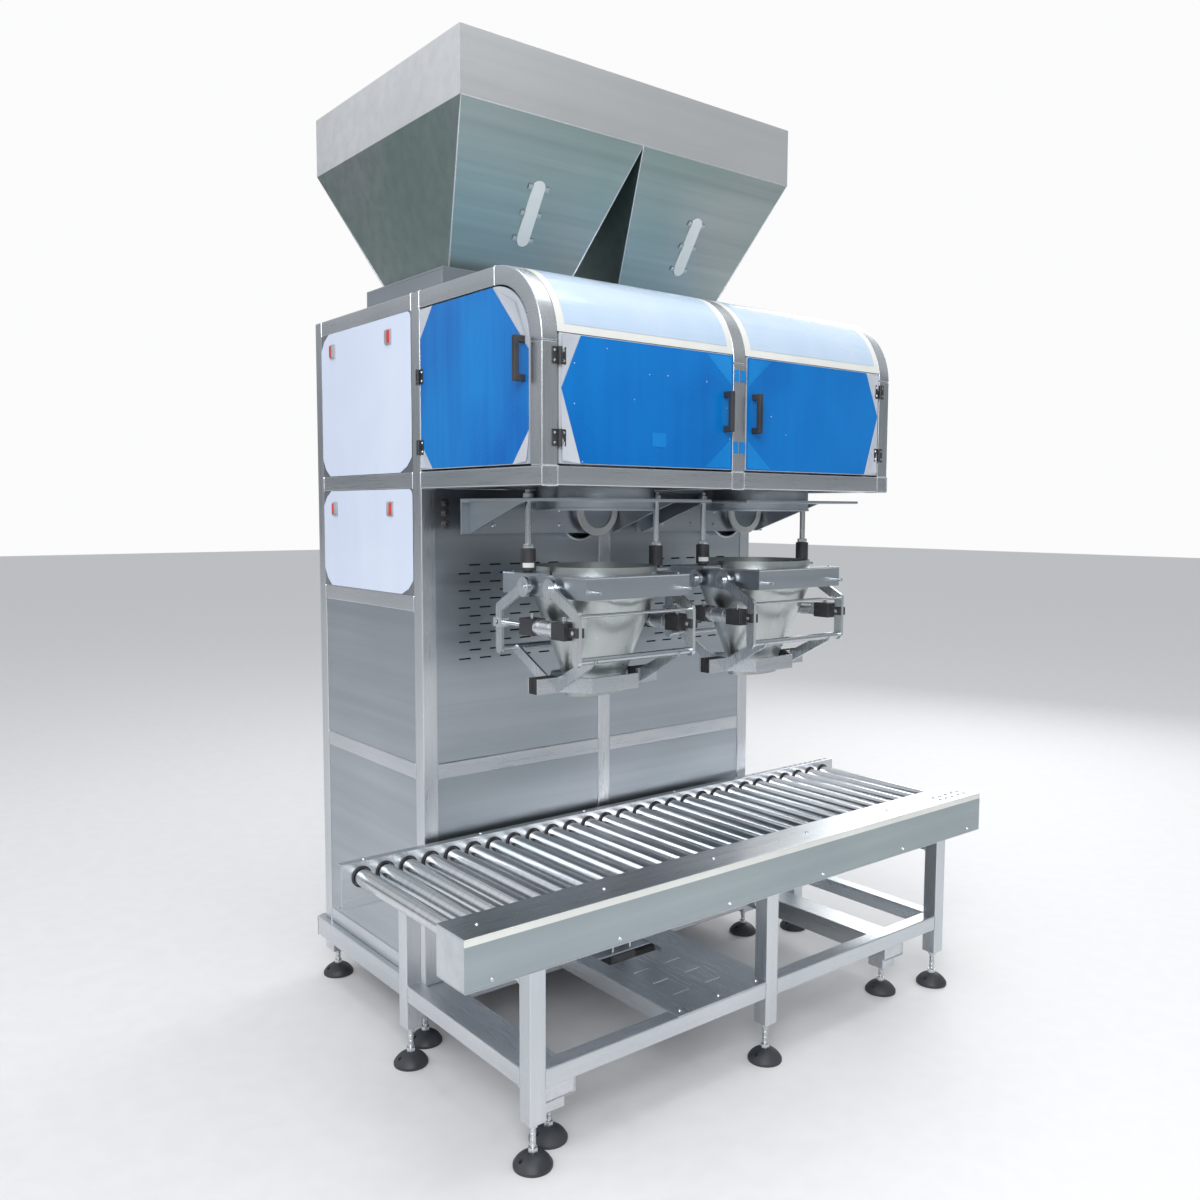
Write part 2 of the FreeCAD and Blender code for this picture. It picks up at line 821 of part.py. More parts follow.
def weigh_feeder(side):
    """One head's neck box and flange, vibrating tray, and weigh hopper."""
    x = side * head_x
    outlet = outlet_rect(side)
    outer = (outlet[0] - flange_margin, outlet[1] + flange_margin,
             outlet[2] - flange_margin, outlet[3] + flange_margin)
    neck_top = column_top + neck_height
    inset = (outer[0] + neck_wall, outer[1] - neck_wall, outer[2] + neck_wall, outer[3] - neck_wall)
    solids = rectangle_frame(outer, inset, column_top, neck_top)
    solids += rectangle_frame(outer, outlet, neck_top, flange_top)

    half = tray_half_width
    floor_top = tray_floor + tray_sheet
    tray_top = floor_top + tray_side_height
    solids.append(box(x - half, x + half, tray_front, tray_rear, tray_floor, floor_top))
    lug_low = tray_top - tray_sheet
    for turn in SIDES:
        wall = x + turn * half
        solids.append(box(wall - turn * tray_sheet, wall, tray_front, tray_rear, floor_top, tray_top))
        inner_wall = wall - turn * tray_sheet
        for y in (tube / 2, support_bar_y + tube / 2):
            solids.append(box(inner_wall, inner_wall - turn * tray_lug, y - tray_lug / 2,
                              y + tray_lug / 2, lug_low, tray_top))
            rod_x = inner_wall - turn * tray_lug / 2
            solids.append(rod(tray_rod_radius, V(rod_x, y, tray_top), V(rod_x, y, column_top - tube)))
    width, length, height = drive_box
    drive_y = (tray_front + tray_rear) / 2
    solids.append(box(x - width / 2, x + width / 2, drive_y - length / 2, drive_y + length / 2,
                      tray_floor - height, tray_floor))

    top_rect = (x - weigh_half_top_x, x + weigh_half_top_x,
                head_y - weigh_half_top_y, head_y + weigh_half_top_y)
    bottom_rect = (x - weigh_half_bottom, x + weigh_half_bottom,
                   head_y - weigh_half_bottom, head_y + weigh_half_bottom)
    solids += chute_walls(top_rect, weigh_top, bottom_rect, weigh_bottom, weigh_wall)
    return solids


def flap_axis_y():
    """The weigh flap's hinge line, behind the weigh hopper's mouth."""
    return head_y + flap_hinge_offset


def flap_axis_z():
    """The weigh flap's hinge height, under the duct's cap."""
    return duct_top - flap_knuckle_radius - touch_gap


def weigh_flap(side):
    """A flat flap under the weigh hopper's mouth, on a hinge barrel along its rear edge."""
    x = side * head_x
    y = flap_axis_y()
    z = flap_axis_z()
    top = duct_top - touch_gap
    plate = box(x - flap_half, x + flap_half, head_y - flap_half, y, top - flap_thickness, top)
    barrel = rod(flap_knuckle_radius, V(x - flap_half / 2, y, z), V(x + flap_half / 2, y, z))
    bore = rod(flap_pin_radius + pin_clearance, V(x - flap_half, y, z), V(x + flap_half, y, z))
    flap = plate.fuse(barrel).cut(bore)
    for turn in SIDES:
        flap = flap.cut(box(x + turn * (flap_lug_inner - touch_gap), x + turn * (flap_lug_outer + touch_gap),
                            y - flap_notch, y + flap_knuckle_radius, z - flap_knuckle_radius, duct_top))
    return [flap.removeSplitter().Solids[0]]


# ---- hanger brackets and suspension rods ----

def hanger_bracket(side):
    """A braced bracket that carries one head's duct ring from its load cell."""
    x = side * head_x
    top = hanger_plate_top
    under = top - hanger_plate
    back_face = hanger_back + hanger_plate
    outline = [
        (x - hanger_half_rear, back_face),
        (x + hanger_half_rear, back_face),
        (x + hanger_half_front, hanger_front),
        (x - hanger_half_front, hanger_front),
    ]
    plate = prism_xy(outline, under, top)
    centre_low = V(x, head_y, under - 1)
    plate = plate.cut(rod(duct_radius + touch_gap, centre_low, V(x, head_y, top + 1)))
    for turn in SIDES:
        at = V(x + turn * rod_offset, head_y, under - 1)
        plate = plate.cut(rod(rod_radius + touch_gap, at, at + V(0, 0, hanger_plate + 2)))
    low = under - hanger_back_height
    solids = [plate, box(x - hanger_half_rear, x + hanger_half_rear, hanger_back, back_face, low, under)]
    for turn in SIDES:
        edge = x + turn * hanger_half_rear
        outline = [(hanger_back, under), (hanger_back, low), (hanger_back - gusset_reach, under)]
        inner = edge - turn * hanger_plate
        taper = (hanger_half_rear - hanger_half_front) / (hanger_back - hanger_front)
        shift = turn * taper * (gusset_reach + hanger_plate)
        solids.append(prism_yz(outline, edge - shift, inner - shift))
    cell_width, cell_height = load_cell
    solids.append(box(x - cell_width / 2, x + cell_width / 2, back_face, panel_recess,
                      under - cell_height, under))
    duct_low = under - duct_drop
    solids.append(ring(duct_radius, duct_radius - duct_wall, V(x, head_y, duct_low), V(x, head_y, duct_top)))
    cap = rod(duct_radius, V(x, head_y, duct_top), V(x, head_y, duct_top + duct_cap))
    mouth = weigh_half_bottom - weigh_wall
    cap = cap.cut(box(x - mouth, x + mouth, head_y - mouth, head_y + mouth, duct_top - 1, duct_top + duct_cap + 1))
    solids.append(cap)
    pin_y = flap_axis_y()
    pin_z = flap_axis_z()
    solids.append(rod(flap_pin_radius, V(x - flap_lug_inner, pin_y, pin_z), V(x + flap_lug_inner, pin_y, pin_z)))
    for turn in SIDES:
        solids.append(box(x + turn * flap_lug_inner, x + turn * flap_lug_outer, pin_y - flap_knuckle_radius,
                          pin_y + flap_knuckle_radius, pin_z - flap_knuckle_radius, duct_top))
    suction_x = x + suction_offset
    start = V(suction_x, panel_recess, suction_level)
    end = V(suction_x, panel_recess - suction_length, suction_level)
    solids.append(ring(suction_radius, suction_radius - suction_wall, start, end))
    return solids


def suspension_rods(side):
    """Two hanging rods with their couplings and nuts, one each side of the funnel."""
    x = side * head_x
    solids = []
    ear_top = box_top + ear_thickness
    for turn in SIDES:
        rx = x + turn * rod_offset
        nut_top = hanger_plate_top + rod_nut_height
        shank = rod(rod_radius, V(rx, head_y, coupling_top), V(rx, head_y, nut_top + rod_radius))
        cap_nut = ring(rod_nut / 2, rod_radius + touch_gap, V(rx, head_y, hanger_plate_top), V(rx, head_y, nut_top))
        body = rod(coupling_radius, V(rx, head_y, coupling_bottom), V(rx, head_y, coupling_top))
        neck = rod(coupling_neck, V(rx, head_y, ear_top), V(rx, head_y, coupling_bottom))
        solids.extend([shank, cap_nut, body.fuse(neck).removeSplitter().Solids[0]])
    return solids


# ---- funnel ----

def funnel_solid(x, shrink):
    """The round-to-oval funnel's outline as a solid, drawn in by a wall thickness."""
    reach = 1.0 if shrink else 0.0

    def oval(half_x, half_y, z):
        shape = Part.Ellipse(V(x, head_y, z), half_x - shrink, half_y - shrink)
        return Part.Wire(shape.toShape())

    sections = [
        oval(collar_radius, collar_radius - 0.01, collar_top + reach),
        oval(collar_radius, collar_radius - 0.01, box_top - box_height),
        oval(spout_half_x, spout_half_y, spout_top),
        oval(spout_half_x, spout_half_y, spout_bottom - reach),
    ]
    return Part.makeLoft(sections, True, True)


def clamp_funnel(side):
    """A funnel in its box frame, with hanging ears and the jaws' pivot pins."""
    x = side * head_x
    low = box_top - box_height
    solids = [funnel_solid(x, 0).cut(funnel_solid(x, funnel_wall)).Solids[0]]
    outer = (x - box_half_x, x + box_half_x, head_y - box_half_y, head_y + box_half_y)
    inset = (outer[0] + box_sheet, outer[1] - box_sheet, outer[2] + box_sheet, outer[3] - box_sheet)
    top_low = box_top - box_sheet
    solids += rectangle_frame(outer, inset, low, top_low)
    lid = box(outer[0], outer[1], outer[2], outer[3], top_low, box_top)
    solids.append(lid.cut(rod(collar_radius + touch_gap, V(x, head_y, top_low - 1), V(x, head_y, box_top + 1))))
    for turn in SIDES:
        ear_in = x + turn * (collar_radius + ear_gap)
        ear_out = x + turn * (rod_offset + coupling_radius + ear_margin)
        solids.append(box(ear_in, ear_out, head_y - ear_half_width, head_y + ear_half_width,
                          box_top, box_top + ear_thickness))
        for fore in SIDES:
            y = head_y + fore * pivot_offset
            face = x + turn * box_half_x
            arm_in = x + turn * (arm_plane - arm_thickness / 2 - touch_gap)
            arm_out = x + turn * (arm_plane + arm_thickness / 2 + touch_gap)
            head_end = arm_out + turn * pivot_head
            boss = rod(pivot_boss_radius, V(face, y, pivot_level), V(arm_in, y, pivot_level))
            pin = rod(pivot_pin_radius, V(arm_in, y, pivot_level), V(arm_out, y, pivot_level))
            head = rod(pivot_head_radius, V(arm_out, y, pivot_level), V(head_end, y, pivot_level))
            solids.append(boss.fuse(pin).fuse(head).removeSplitter().Solids[0])
    for turn in SIDES:
        root = V(x + turn * (box_half_x - guide_stud_inset), outer[2], low + guide_stud_rise)
        solids.append(rod(guide_stud_radius, root - V(0, guide_stud_reach, 0), root))
    return solids


# ---- clamp jaws and cylinders ----

def jaw_strip_outline(x, fore):
    """The formed jaw strip in plan: flat ends that grip the bag, and a belly round the spout."""
    inner = jaw_half_gap + jaw_pad_thickness
    profile = [(-jaw_end, inner), (-jaw_flat, inner), (-jaw_belly, jaw_belly_offset),
               (jaw_belly, jaw_belly_offset), (jaw_flat, inner), (jaw_end, inner)]
    slant = math.hypot(jaw_flat - jaw_belly, jaw_belly_offset - inner)
    shift = jaw_strip * (jaw_flat - jaw_belly) / (slant + jaw_belly_offset - inner)
    shifts = [0, -shift, -shift, shift, shift, 0]
    inside = [(x + px, head_y + fore * py) for px, py in profile]
    outside = [(x + px + s, head_y + fore * (py + jaw_strip)) for (px, py), s in zip(profile, shifts)]
    return inside + outside[::-1]


def clamp_jaw(side, fore):
    """One jaw: two bent arms, its tie rods, the hung strip and its rubber end pads."""
    x = side * head_x
    pivot = (head_y + fore * pivot_offset, pivot_level)
    knee = (head_y + fore * knee_offset, knee_level)
    foot = (head_y + fore * knee_offset, tie_level)
    cylinder_pin = (foot[0], cylinder_level)
    solids = []
    for turn in SIDES:
        xa = x + turn * (arm_plane - arm_thickness / 2)
        xb = x + turn * (arm_plane + arm_thickness / 2)
        arm = link_yz(pivot, knee, arm_half_width, xa, xb)
        arm = arm.fuse(link_yz(knee, foot, arm_half_width, xa, xb))
        arm = arm.fuse(rod(arm_head_radius, V(xa, *pivot), V(xb, *pivot)))
        arm = arm.removeSplitter()
        hole = pivot_pin_radius + pin_clearance
        arm = arm.cut(rod(hole, V(xa - turn, *pivot), V(xb + turn, *pivot)))
        solids.append(arm.Solids[0])
        pin_out = arm_thickness / 2 + touch_gap + fork_cheek + cylinder_pin_end
        for away in SIDES:
            start = V(x + turn * arm_plane + away * arm_thickness / 2, *cylinder_pin)
            end = V(x + turn * arm_plane + away * pin_out, *cylinder_pin)
            solids.append(rod(cylinder_pin_radius, start, end))
    inner = arm_plane - arm_thickness / 2
    solids.append(rod(tie_radius, V(x - inner, *foot), V(x + inner, *foot)))
    if fore < 0:
        solids.append(rod(upper_tie_radius, V(x - inner, *knee), V(x + inner, *knee)))
    top = jaw_bottom + jaw_height
    solids.append(prism_xy(jaw_strip_outline(x, fore), jaw_bottom, top))
    for turn in SIDES:
        solids.append(box(x + turn * jaw_flat, x + turn * jaw_end, head_y + fore * jaw_half_gap,
                          head_y + fore * (jaw_half_gap + jaw_pad_thickness), jaw_bottom, top))
        bar_y = head_y + fore * (jaw_half_gap + jaw_pad_thickness + jaw_strip)
        eye = tie_radius + hanger_eye_wall
        xa = x + turn * (jaw_flat + jaw_hanger_inset)
        xb = xa + turn * jaw_hanger_width
        outline = [
            (bar_y, jaw_bottom + jaw_hanger_foot),
            (bar_y, top - jaw_hanger_shoulder),
            (foot[0] - fore * eye * hanger_eye_high, tie_level + eye * hanger_eye_high),
            (foot[0] + fore * eye, tie_level),
            (foot[0] + fore * eye * hanger_eye_low, tie_level - eye),
        ]
        hanger = prism_yz(outline, xa, xb)
        hole = rod(tie_radius + touch_gap, V(xa - turn, *foot), V(xb + turn, *foot))
        solids.append(hanger.cut(hole).removeSplitter().Solids[0])
    return solids


def fork(x, pin_y, direction, slotted):
    """Two cheeks either side of an arm, joined by a block, around the cylinder's pin."""
    inner = arm_thickness / 2 + touch_gap
    outer = inner + fork_cheek
    back = pin_y + direction * (arm_half_width + fork_relief)
    far = pin_y - direction * fork_reach
    z0 = cylinder_level - fork_half_height
    z1 = cylinder_level + fork_half_height
    shape = box(x - outer, x + outer, back, back + direction * fork_cheek, z0, z1)
    for away in SIDES:
        shape = shape.fuse(box(x + away * inner, x + away * outer, far, back, z0, z1))
    reach = fork_slot if slotted else 0.0
    hole = cylinder_pin_radius + pin_clearance
    start = V(x - outer - 1, pin_y - reach, cylinder_level)
    end = V(x + outer + 1, pin_y - reach, cylinder_level)
    shape = shape.cut(rod(hole, start, end))
    if slotted:
        other = V(0, 2 * reach, 0)
        shape = shape.cut(rod(hole, start + other, end + other))
        shape = shape.cut(box(start.x, end.x, pin_y - reach, pin_y + reach,
                              cylinder_level - hole, cylinder_level + hole))
    return shape.removeSplitter(), back + direction * fork_cheek


def cylinder_parts(side):
    """The barrels pinned to the front arms, and the piston rods forked to the rear arms."""
    x = side * head_x
    barrels = []
    rods = []
    front_pin = head_y - knee_offset
    rear_pin = head_y + knee_offset
    for turn in SIDES:
        cx = x + turn * arm_plane
        front_fork, y0 = fork(cx, front_pin, 1, False)
        y1 = y0 + cylinder_front_cap
        y2 = y1 + cylinder_barrel
        y3 = y2 + cylinder_cap_rear
        half = cylinder_cap / 2
        z0 = cylinder_level - half
        z1 = cylinder_level + half
        front_cap = box(cx - half, cx + half, y0, y1, z0, z1)
        barrels.append(front_fork.fuse(front_cap).removeSplitter().Solids[0])
        bore = piston_rod_radius + pin_clearance
        axis = V(0, 1, 0)
        tube_solid = rod(cylinder_radius, V(cx, y1, cylinder_level), V(cx, y2, cylinder_level))
        hollow = rod(cylinder_radius - cylinder_wall, V(cx, y1, cylinder_level), V(cx, y2, cylinder_level))
        barrels.append(tube_solid.cut(hollow))
        rear_cap = box(cx - half, cx + half, y2, y3, z0, z1)
        start = V(cx, y2, cylinder_level) - axis
        barrels.append(rear_cap.cut(rod(bore, start, V(cx, y3, cylinder_level) + axis)))
        rear_fork, back = fork(cx, rear_pin, -1, True)
        piston = rod(piston_rod_radius, V(cx, y1 + piston_length, cylinder_level), V(cx, back, cylinder_level))
        head = rod(cylinder_radius - cylinder_wall - touch_gap, V(cx, y1 + piston_gap, cylinder_level),
                   V(cx, y1 + piston_gap + piston_length, cylinder_level))
        rods.append(rear_fork.fuse(piston).fuse(head).removeSplitter().Solids[0])
    return barrels, rods


# ---- conveyor ----

def roller_x(index):
    """The x of one roller's axis."""
    return roller_first + index * roller_pitch


def roller(index):
    """A tube on a spindle that runs through both rails, with a sprocket in the case."""
    x = roller_x(index)
    front = case_inner + roller_end_gap
    rear = rear_rail_y - roller_end_gap
    tube_solid = ring(roller_radius, roller_radius - roller_wall, V(x, front, roller_axis_z),
                      V(x, rear, roller_axis_z))
    disc_radius = roller_radius - roller_wall - spindle_disc_gap
    sprocket_rear = case_inner - rail_sheet - sprocket_gap
    spindle = rod(spindle_radius, V(x, sprocket_rear - sprocket_width - spindle_front_end, roller_axis_z),
                  V(x, rear_rail_y + rail_sheet + spindle_rear_end, roller_axis_z))
    spindle = spindle.fuse(rod(sprocket_radius, V(x, sprocket_rear - sprocket_width, roller_axis_z),
                               V(x, sprocket_rear, roller_axis_z)))
    for y in (front, rear - spindle_disc):
        spindle = spindle.fuse(rod(disc_radius, V(x, y, roller_axis_z), V(x, y + spindle_disc, roller_axis_z)))
    return [tube_solid, spindle.removeSplitter().Solids[0]]


def conveyor_rails():
    """The chain case along the front and the channel along the back, with their end plates."""
    x0 = conveyor_left
    x1 = conveyor_right
    t = rail_sheet
    case = [
        box(x0, x1, case_front, case_inner, rail_bottom, rail_bottom + t),
        box(x0, x1, case_front, case_inner, rail_top - t, rail_top),
        box(x0, x1, case_front, case_front + t, rail_bottom + t, rail_top - t),
    ]
    for end, inward in ((x0, 1), (x1, -1)):
        case.append(box(end, end + inward * t, case_front + t, case_inner - t, rail_bottom + t, rail_top - t))
    case_web = box(x0, x1, case_inner - t, case_inner, rail_bottom + t, rail_top - t)
    rear_web = box(x0, x1, rear_rail_y, rear_rail_y + t, rail_bottom, rail_top)
    hole = spindle_radius + spindle_clearance
    holes = [rod(hole, V(roller_x(i), case_inner - 2 * t, roller_axis_z),
                 V(roller_x(i), rear_rail_y + 2 * t, roller_axis_z)) for i in range(roller_count)]
    cutter = Part.makeCompound(holes)
    webs = [case_web.cut(cutter), rear_web.cut(cutter)]
    flanges = [box(x0, x1, rear_rail_y + t, rear_rail_y + rear_rail_depth, z, z + t)
               for z in (rail_bottom, rail_top - t)]
    return case + [web.Solids[0] for web in webs] + flanges


def conveyor_stand():
    """Six legs, the floor rails and top ties between them, and the slotted deck plate."""
    half = tube / 2
    rail_top_z = stand_rail_bottom + tube
    solids = []
    front_inner = leg_front_y + half
    for x in leg_rows_x:
        rear = leg_rear_centre(x)
        for y in (leg_front_y, rear):
            solids.append(box(x - half, x + half, y - half, y + half, leg_bottom, rail_bottom))
        solids.append(box(x - half, x + half, front_inner, rear - half, stand_rail_bottom, rail_top_z))
        solids.append(box(x - half, x + half, front_inner, rear - half, rail_bottom - tube, rail_bottom))
    for a, b in zip(leg_rows_x, leg_rows_x[1:]):
        solids.append(box(a + half, b - half, leg_front_y - half, front_inner, stand_rail_bottom, rail_top_z))
    middle = leg_rows_x[1]
    deck_rear = leg_rear_centre(middle) - half
    solids.append(box(deck_left, deck_left + tube, front_inner, deck_rear, stand_rail_bottom, rail_top_z))
    deck_top = rail_top_z + deck_thickness
    deck_right = middle - half - touch_gap
    deck = box(deck_left, deck_right, leg_front_y - half, deck_rear, rail_top_z, deck_top)
    ox0, ox1, oy0, oy1 = deck_opening
    deck = deck.cut(box(ox0, ox1, oy0, oy1, rail_top_z - 1, deck_top + 1))
    slot_half = deck_slot_length / 2
    for column in range(deck_slot_grid[0]):
        for row in range(deck_slot_grid[1]):
            cx = deck_left + tube + deck_slot_margin + column * deck_slot_pitch[0]
            cy = front_inner + deck_slot_margin + row * deck_slot_pitch[1]
            slot = box(cx - slot_half, cx + slot_half, cy - deck_slot_width / 2, cy + deck_slot_width / 2,
                       rail_top_z - 1, deck_top + 1)
            deck = deck.cut(slot)
    solids.append(deck)
    return solids


def drive_gearmotor():
    """The conveyor's drive, hung under the deck's opening on a plate with four studs."""
    ox0, ox1, oy0, oy1 = deck_opening
    plate_top = stand_rail_bottom + tube
    left = deck_left + tube
    right = ox1 + motor_plate_margin
    cx = (ox0 + ox1) / 2
    cy = (oy0 + oy1) / 2
    width, depth, height = gearbox
    plate = box(left, right, cy - depth / 2, cy + depth / 2, plate_top - motor_plate, plate_top)
    under = plate_top - motor_plate
    body = box(cx - width / 2, cx + width / 2, cy - depth / 2, cy + depth / 2, under - height, under)
    axis_z = under - height / 2
    motor_start = V(cx + width / 2, cy, axis_z)
    motor = rod(motor_radius, motor_start, motor_start + V(motor_length, 0, 0))
    solids = [plate, body, motor]
    for i in SIDES:
        for j in SIDES:
            root = V(cx + i * width * motor_stud_spread, cy + j * depth * motor_stud_spread, plate_top)
            solids.append(rod(motor_stud_radius, root, root + V(0, 0, motor_stud_height)))
    return solids


def main():
    """Build every node and write it."""
    os.makedirs("parts", exist_ok=True)
    write_node("base_frame", base_frame())
    feet = [solid for place in foot_places() for solid in leveling_foot(*place)]
    write_node("leveling_feet", feet)
    write_node("column_frame", column_frame())
    write_node("column_panels", column_panels())
    write_node("louver_panels", louver_panels())
    write_node("latched_side_panels", latched_side_panels())
    write_node("enclosure_frame", enclosure_frame())
    write_node("top_covers", top_covers())
    write_node("door_hardware", door_hardware())
    write_node("feed_hopper", feed_hopper())
    write_node("sight_windows", [s for side in SIDES for s in sight_window(side)])
    write_node("weigh_feeders", [s for side in SIDES for s in weigh_feeder(side)])
    write_node("hanger_brackets", [s for side in SIDES for s in hanger_bracket(side)])
    write_node("suspension_rods", [s for side in SIDES for s in suspension_rods(side)])
    write_node("clamp_funnels", [s for side in SIDES for s in clamp_funnel(side)])
    write_node("conveyor_rails", conveyor_rails())
    write_node("conveyor_stand", conveyor_stand())
    write_node("drive_gearmotor", drive_gearmotor())
    for side, hand in ((-1, "left"), (1, "right")):
        barrels, rods = cylinder_parts(side)
        write_node(f"front_door_{hand}", front_door(side))
        write_node(f"side_door_{hand}", side_door(side))
        write_node(f"weigh_flap_{hand}", weigh_flap(side))
        write_node(f"front_jaw_{hand}", clamp_jaw(side, -1))
        write_node(f"rear_jaw_{hand}", clamp_jaw(side, 1))
        write_node(f"clamp_cylinders_{hand}", barrels)
        write_node(f"clamp_rods_{hand}", rods)
    for index in range(roller_count):
        write_node(f"roller_{index + 1:02d}", roller(index))


main()
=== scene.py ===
import logging
import math
from dataclasses import dataclass
from enum import Enum
from typing import Any, Callable, Iterable, Sequence

import bmesh
import bpy
from bpy.types import Mesh, Node, NodeSocket, NodeTree
from mathutils import Matrix, Vector, noise


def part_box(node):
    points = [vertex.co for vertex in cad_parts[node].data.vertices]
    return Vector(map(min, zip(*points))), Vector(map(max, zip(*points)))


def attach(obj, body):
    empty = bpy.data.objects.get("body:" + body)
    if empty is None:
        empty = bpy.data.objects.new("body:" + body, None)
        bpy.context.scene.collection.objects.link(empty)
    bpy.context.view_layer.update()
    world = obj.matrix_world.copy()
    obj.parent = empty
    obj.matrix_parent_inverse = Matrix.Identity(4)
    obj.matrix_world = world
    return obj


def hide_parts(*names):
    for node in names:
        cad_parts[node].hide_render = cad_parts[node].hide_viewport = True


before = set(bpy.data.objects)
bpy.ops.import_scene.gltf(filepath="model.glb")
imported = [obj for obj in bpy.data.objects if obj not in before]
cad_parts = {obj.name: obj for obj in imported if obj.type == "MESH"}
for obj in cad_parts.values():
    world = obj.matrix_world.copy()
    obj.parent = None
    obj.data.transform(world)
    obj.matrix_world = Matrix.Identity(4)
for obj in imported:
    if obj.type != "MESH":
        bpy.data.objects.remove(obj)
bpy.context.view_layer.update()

# Looks of a twin-head bag filling machine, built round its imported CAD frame. Metres, +Z up.
# Places come from the CAD nodes' boxes and solids; spot() turns the machine's own millimetre
# layout (x = 0 at the column's middle, y = 0 on its front face) into the row frame.

LOG = logging.getLogger("bag_filler")
STATIC = "machine_frame"
COLUMN_LOW, COLUMN_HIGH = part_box("column_frame")
SIDES = ((-1, "left"), (1, "right"))
UP = Vector((0, 0, 1))
FORWARD = Vector((0, -1, 0))
BACKWARD = Vector((0, 1, 0))
BMesh = bmesh.types.BMesh
Colour = tuple[float, float, float]
FLOAT = "NodeSocketFloat"
SHINE_AND_WEAR_EDGE = "shine_and_wear_edge"  # face attribute, 1 on rounded edges: where the painted edge highlight and the wear show


def spot(x: float, y: float, z: float) -> Vector:
    """A place given in the machine's millimetre layout, in the row frame."""
    middle = (COLUMN_LOW.x + COLUMN_HIGH.x) / 2
    return Vector((middle + x / 1000, COLUMN_LOW.y + y / 1000, z / 1000))


MIDDLE = spot(0, 0, 0).x


def level_outline(low: Vector, high: Vector, z: float) -> list[Vector]:
    """The four corners of a box, at one level."""
    return [Vector((x, y, z)) for x, y in ((low.x, low.y), (high.x, low.y), (high.x, high.y), (low.x, high.y))]


class Axis(Enum):
    """A main direction, by its index."""

    X = 0
    Y = 1
    Z = 2


# ---- node trees ----

class Sketch:
    """Places nodes in a node tree and joins them."""

    def __init__(self, tree: NodeTree) -> None:
        """Start drawing in a tree."""
        self.tree = tree

    def add(self, kind: str, inputs: dict[Any, Any] | None = None, **settings: Any) -> Node:
        """Add one node.

        Args:
            kind: the node's type name.
            inputs: socket name or index to a value or to another node's output.
            settings: properties of the node, set before its sockets.

        Returns:
            The new node.
        """
        node = self.tree.nodes.new(kind)
        for key, value in settings.items():
            setattr(node, key, value)
        for key, value in (inputs or {}).items():
            if isinstance(value, NodeSocket):
                self.tree.links.new(value, node.inputs[key])
            else:
                node.inputs[key].default_value = value
        return node

    def maths(self, operation: str, first: Any, second: Any = 0.0) -> NodeSocket:
        """The result of one sum on two numbers."""
        return self.add("ShaderNodeMath", {0: first, 1: second}, operation=operation).outputs[0]

    def times(self, first: Any, second: Any) -> NodeSocket:
        """One number times another."""
        return self.maths("MULTIPLY", first, second)

    def ranged(self, value: Any, low: float, high: float, to_low: Any, to_high: Any) -> NodeSocket:
        """A number moved from one range to another, and held inside it."""
        inputs = {"Value": value, "From Min": low, "From Max": high, "To Min": to_low, "To Max": to_high}
        return self.add("ShaderNodeMapRange", inputs).outputs["Result"]

    def blend(self, share: Any, first: Any, second: Any) -> NodeSocket:
        """Two colours mixed by a share."""
        first, second = (rgba(c) if isinstance(c, tuple) else c for c in (first, second))
        return self.add("ShaderNodeMix", {0: share, 6: first, 7: second}, data_type="RGBA").outputs[2]

    def effect(self, tree: NodeTree, inputs: dict[str, Any]) -> Node:
        """Place a node group with its own values."""
        return self.add("ShaderNodeGroup", inputs, node_tree=tree)


def rgba(colour: Colour) -> tuple[float, float, float, float]:
    """A colour with full opacity."""
    return (*colour, 1.0)


def shader_effect(name: str, inputs: dict[str, tuple[str, Any]], outputs: Sequence[str],
                  lay: Callable[[Sketch, Node], Sequence[Any]]) -> NodeTree:
    """A shader node group, built once.

    Args:
        name: the group's name.
        inputs: socket label to its type and default.
        outputs: labels of the number outputs.
        lay: draws the group and gives one socket for each output.

    Returns:
        The group.
    """
    found = bpy.data.node_groups.get(name)
    if found:
        return found
    tree = bpy.data.node_groups.new(name, "ShaderNodeTree")
    for label, (kind, default) in inputs.items():
        socket = tree.interface.new_socket(label, in_out="INPUT", socket_type=kind)
        if default is not None:
            socket.default_value = default
    for label in outputs:
        tree.interface.new_socket(label, in_out="OUTPUT", socket_type=FLOAT)
    sketch = Sketch(tree)
    results = lay(sketch, sketch.add("NodeGroupInput"))
    sketch.add("NodeGroupOutput", dict(zip(outputs, results)))
    return tree


VECTOR_INPUT = ("NodeSocketVector", None)


def brushed_grain() -> NodeTree:
    """Fine and broad brush lines on coordinates that are already stretched along the grain.

    Returns:
        The group.
    """
    def lay(s: Sketch, start: Node) -> Sequence[Any]:
        """Two noises, for the hairlines and for the broad streaks.

        Args:
            s: the group's sketch.
            start: its inputs.

        Returns:
            The streaks, the height and the hairlines.
        """
        vector = start.outputs["Vector"]
        fine = s.add("ShaderNodeTexNoise", {"Vector": vector, "Scale": start.outputs["Fine"], "Detail": 2.0})
        broad = s.add("ShaderNodeTexNoise", {"Vector": vector, "Scale": start.outputs["Broad"],
                                             "Detail": 3.0, "Roughness": 0.55})
        streak = s.ranged(broad.outputs[0], 0.32, 0.68, 0.0, 1.0)
        height = s.maths("ADD", s.times(fine.outputs[0], 0.6),
                         s.times(broad.outputs[0], 0.4))
        return streak, height, fine.outputs[0]

    return shader_effect("Brushed grain", {"Vector": VECTOR_INPUT, "Fine": (FLOAT, 700.0),
                                           "Broad": (FLOAT, 40.0)},
                         ("Streak", "Height", "Hairline"), lay)


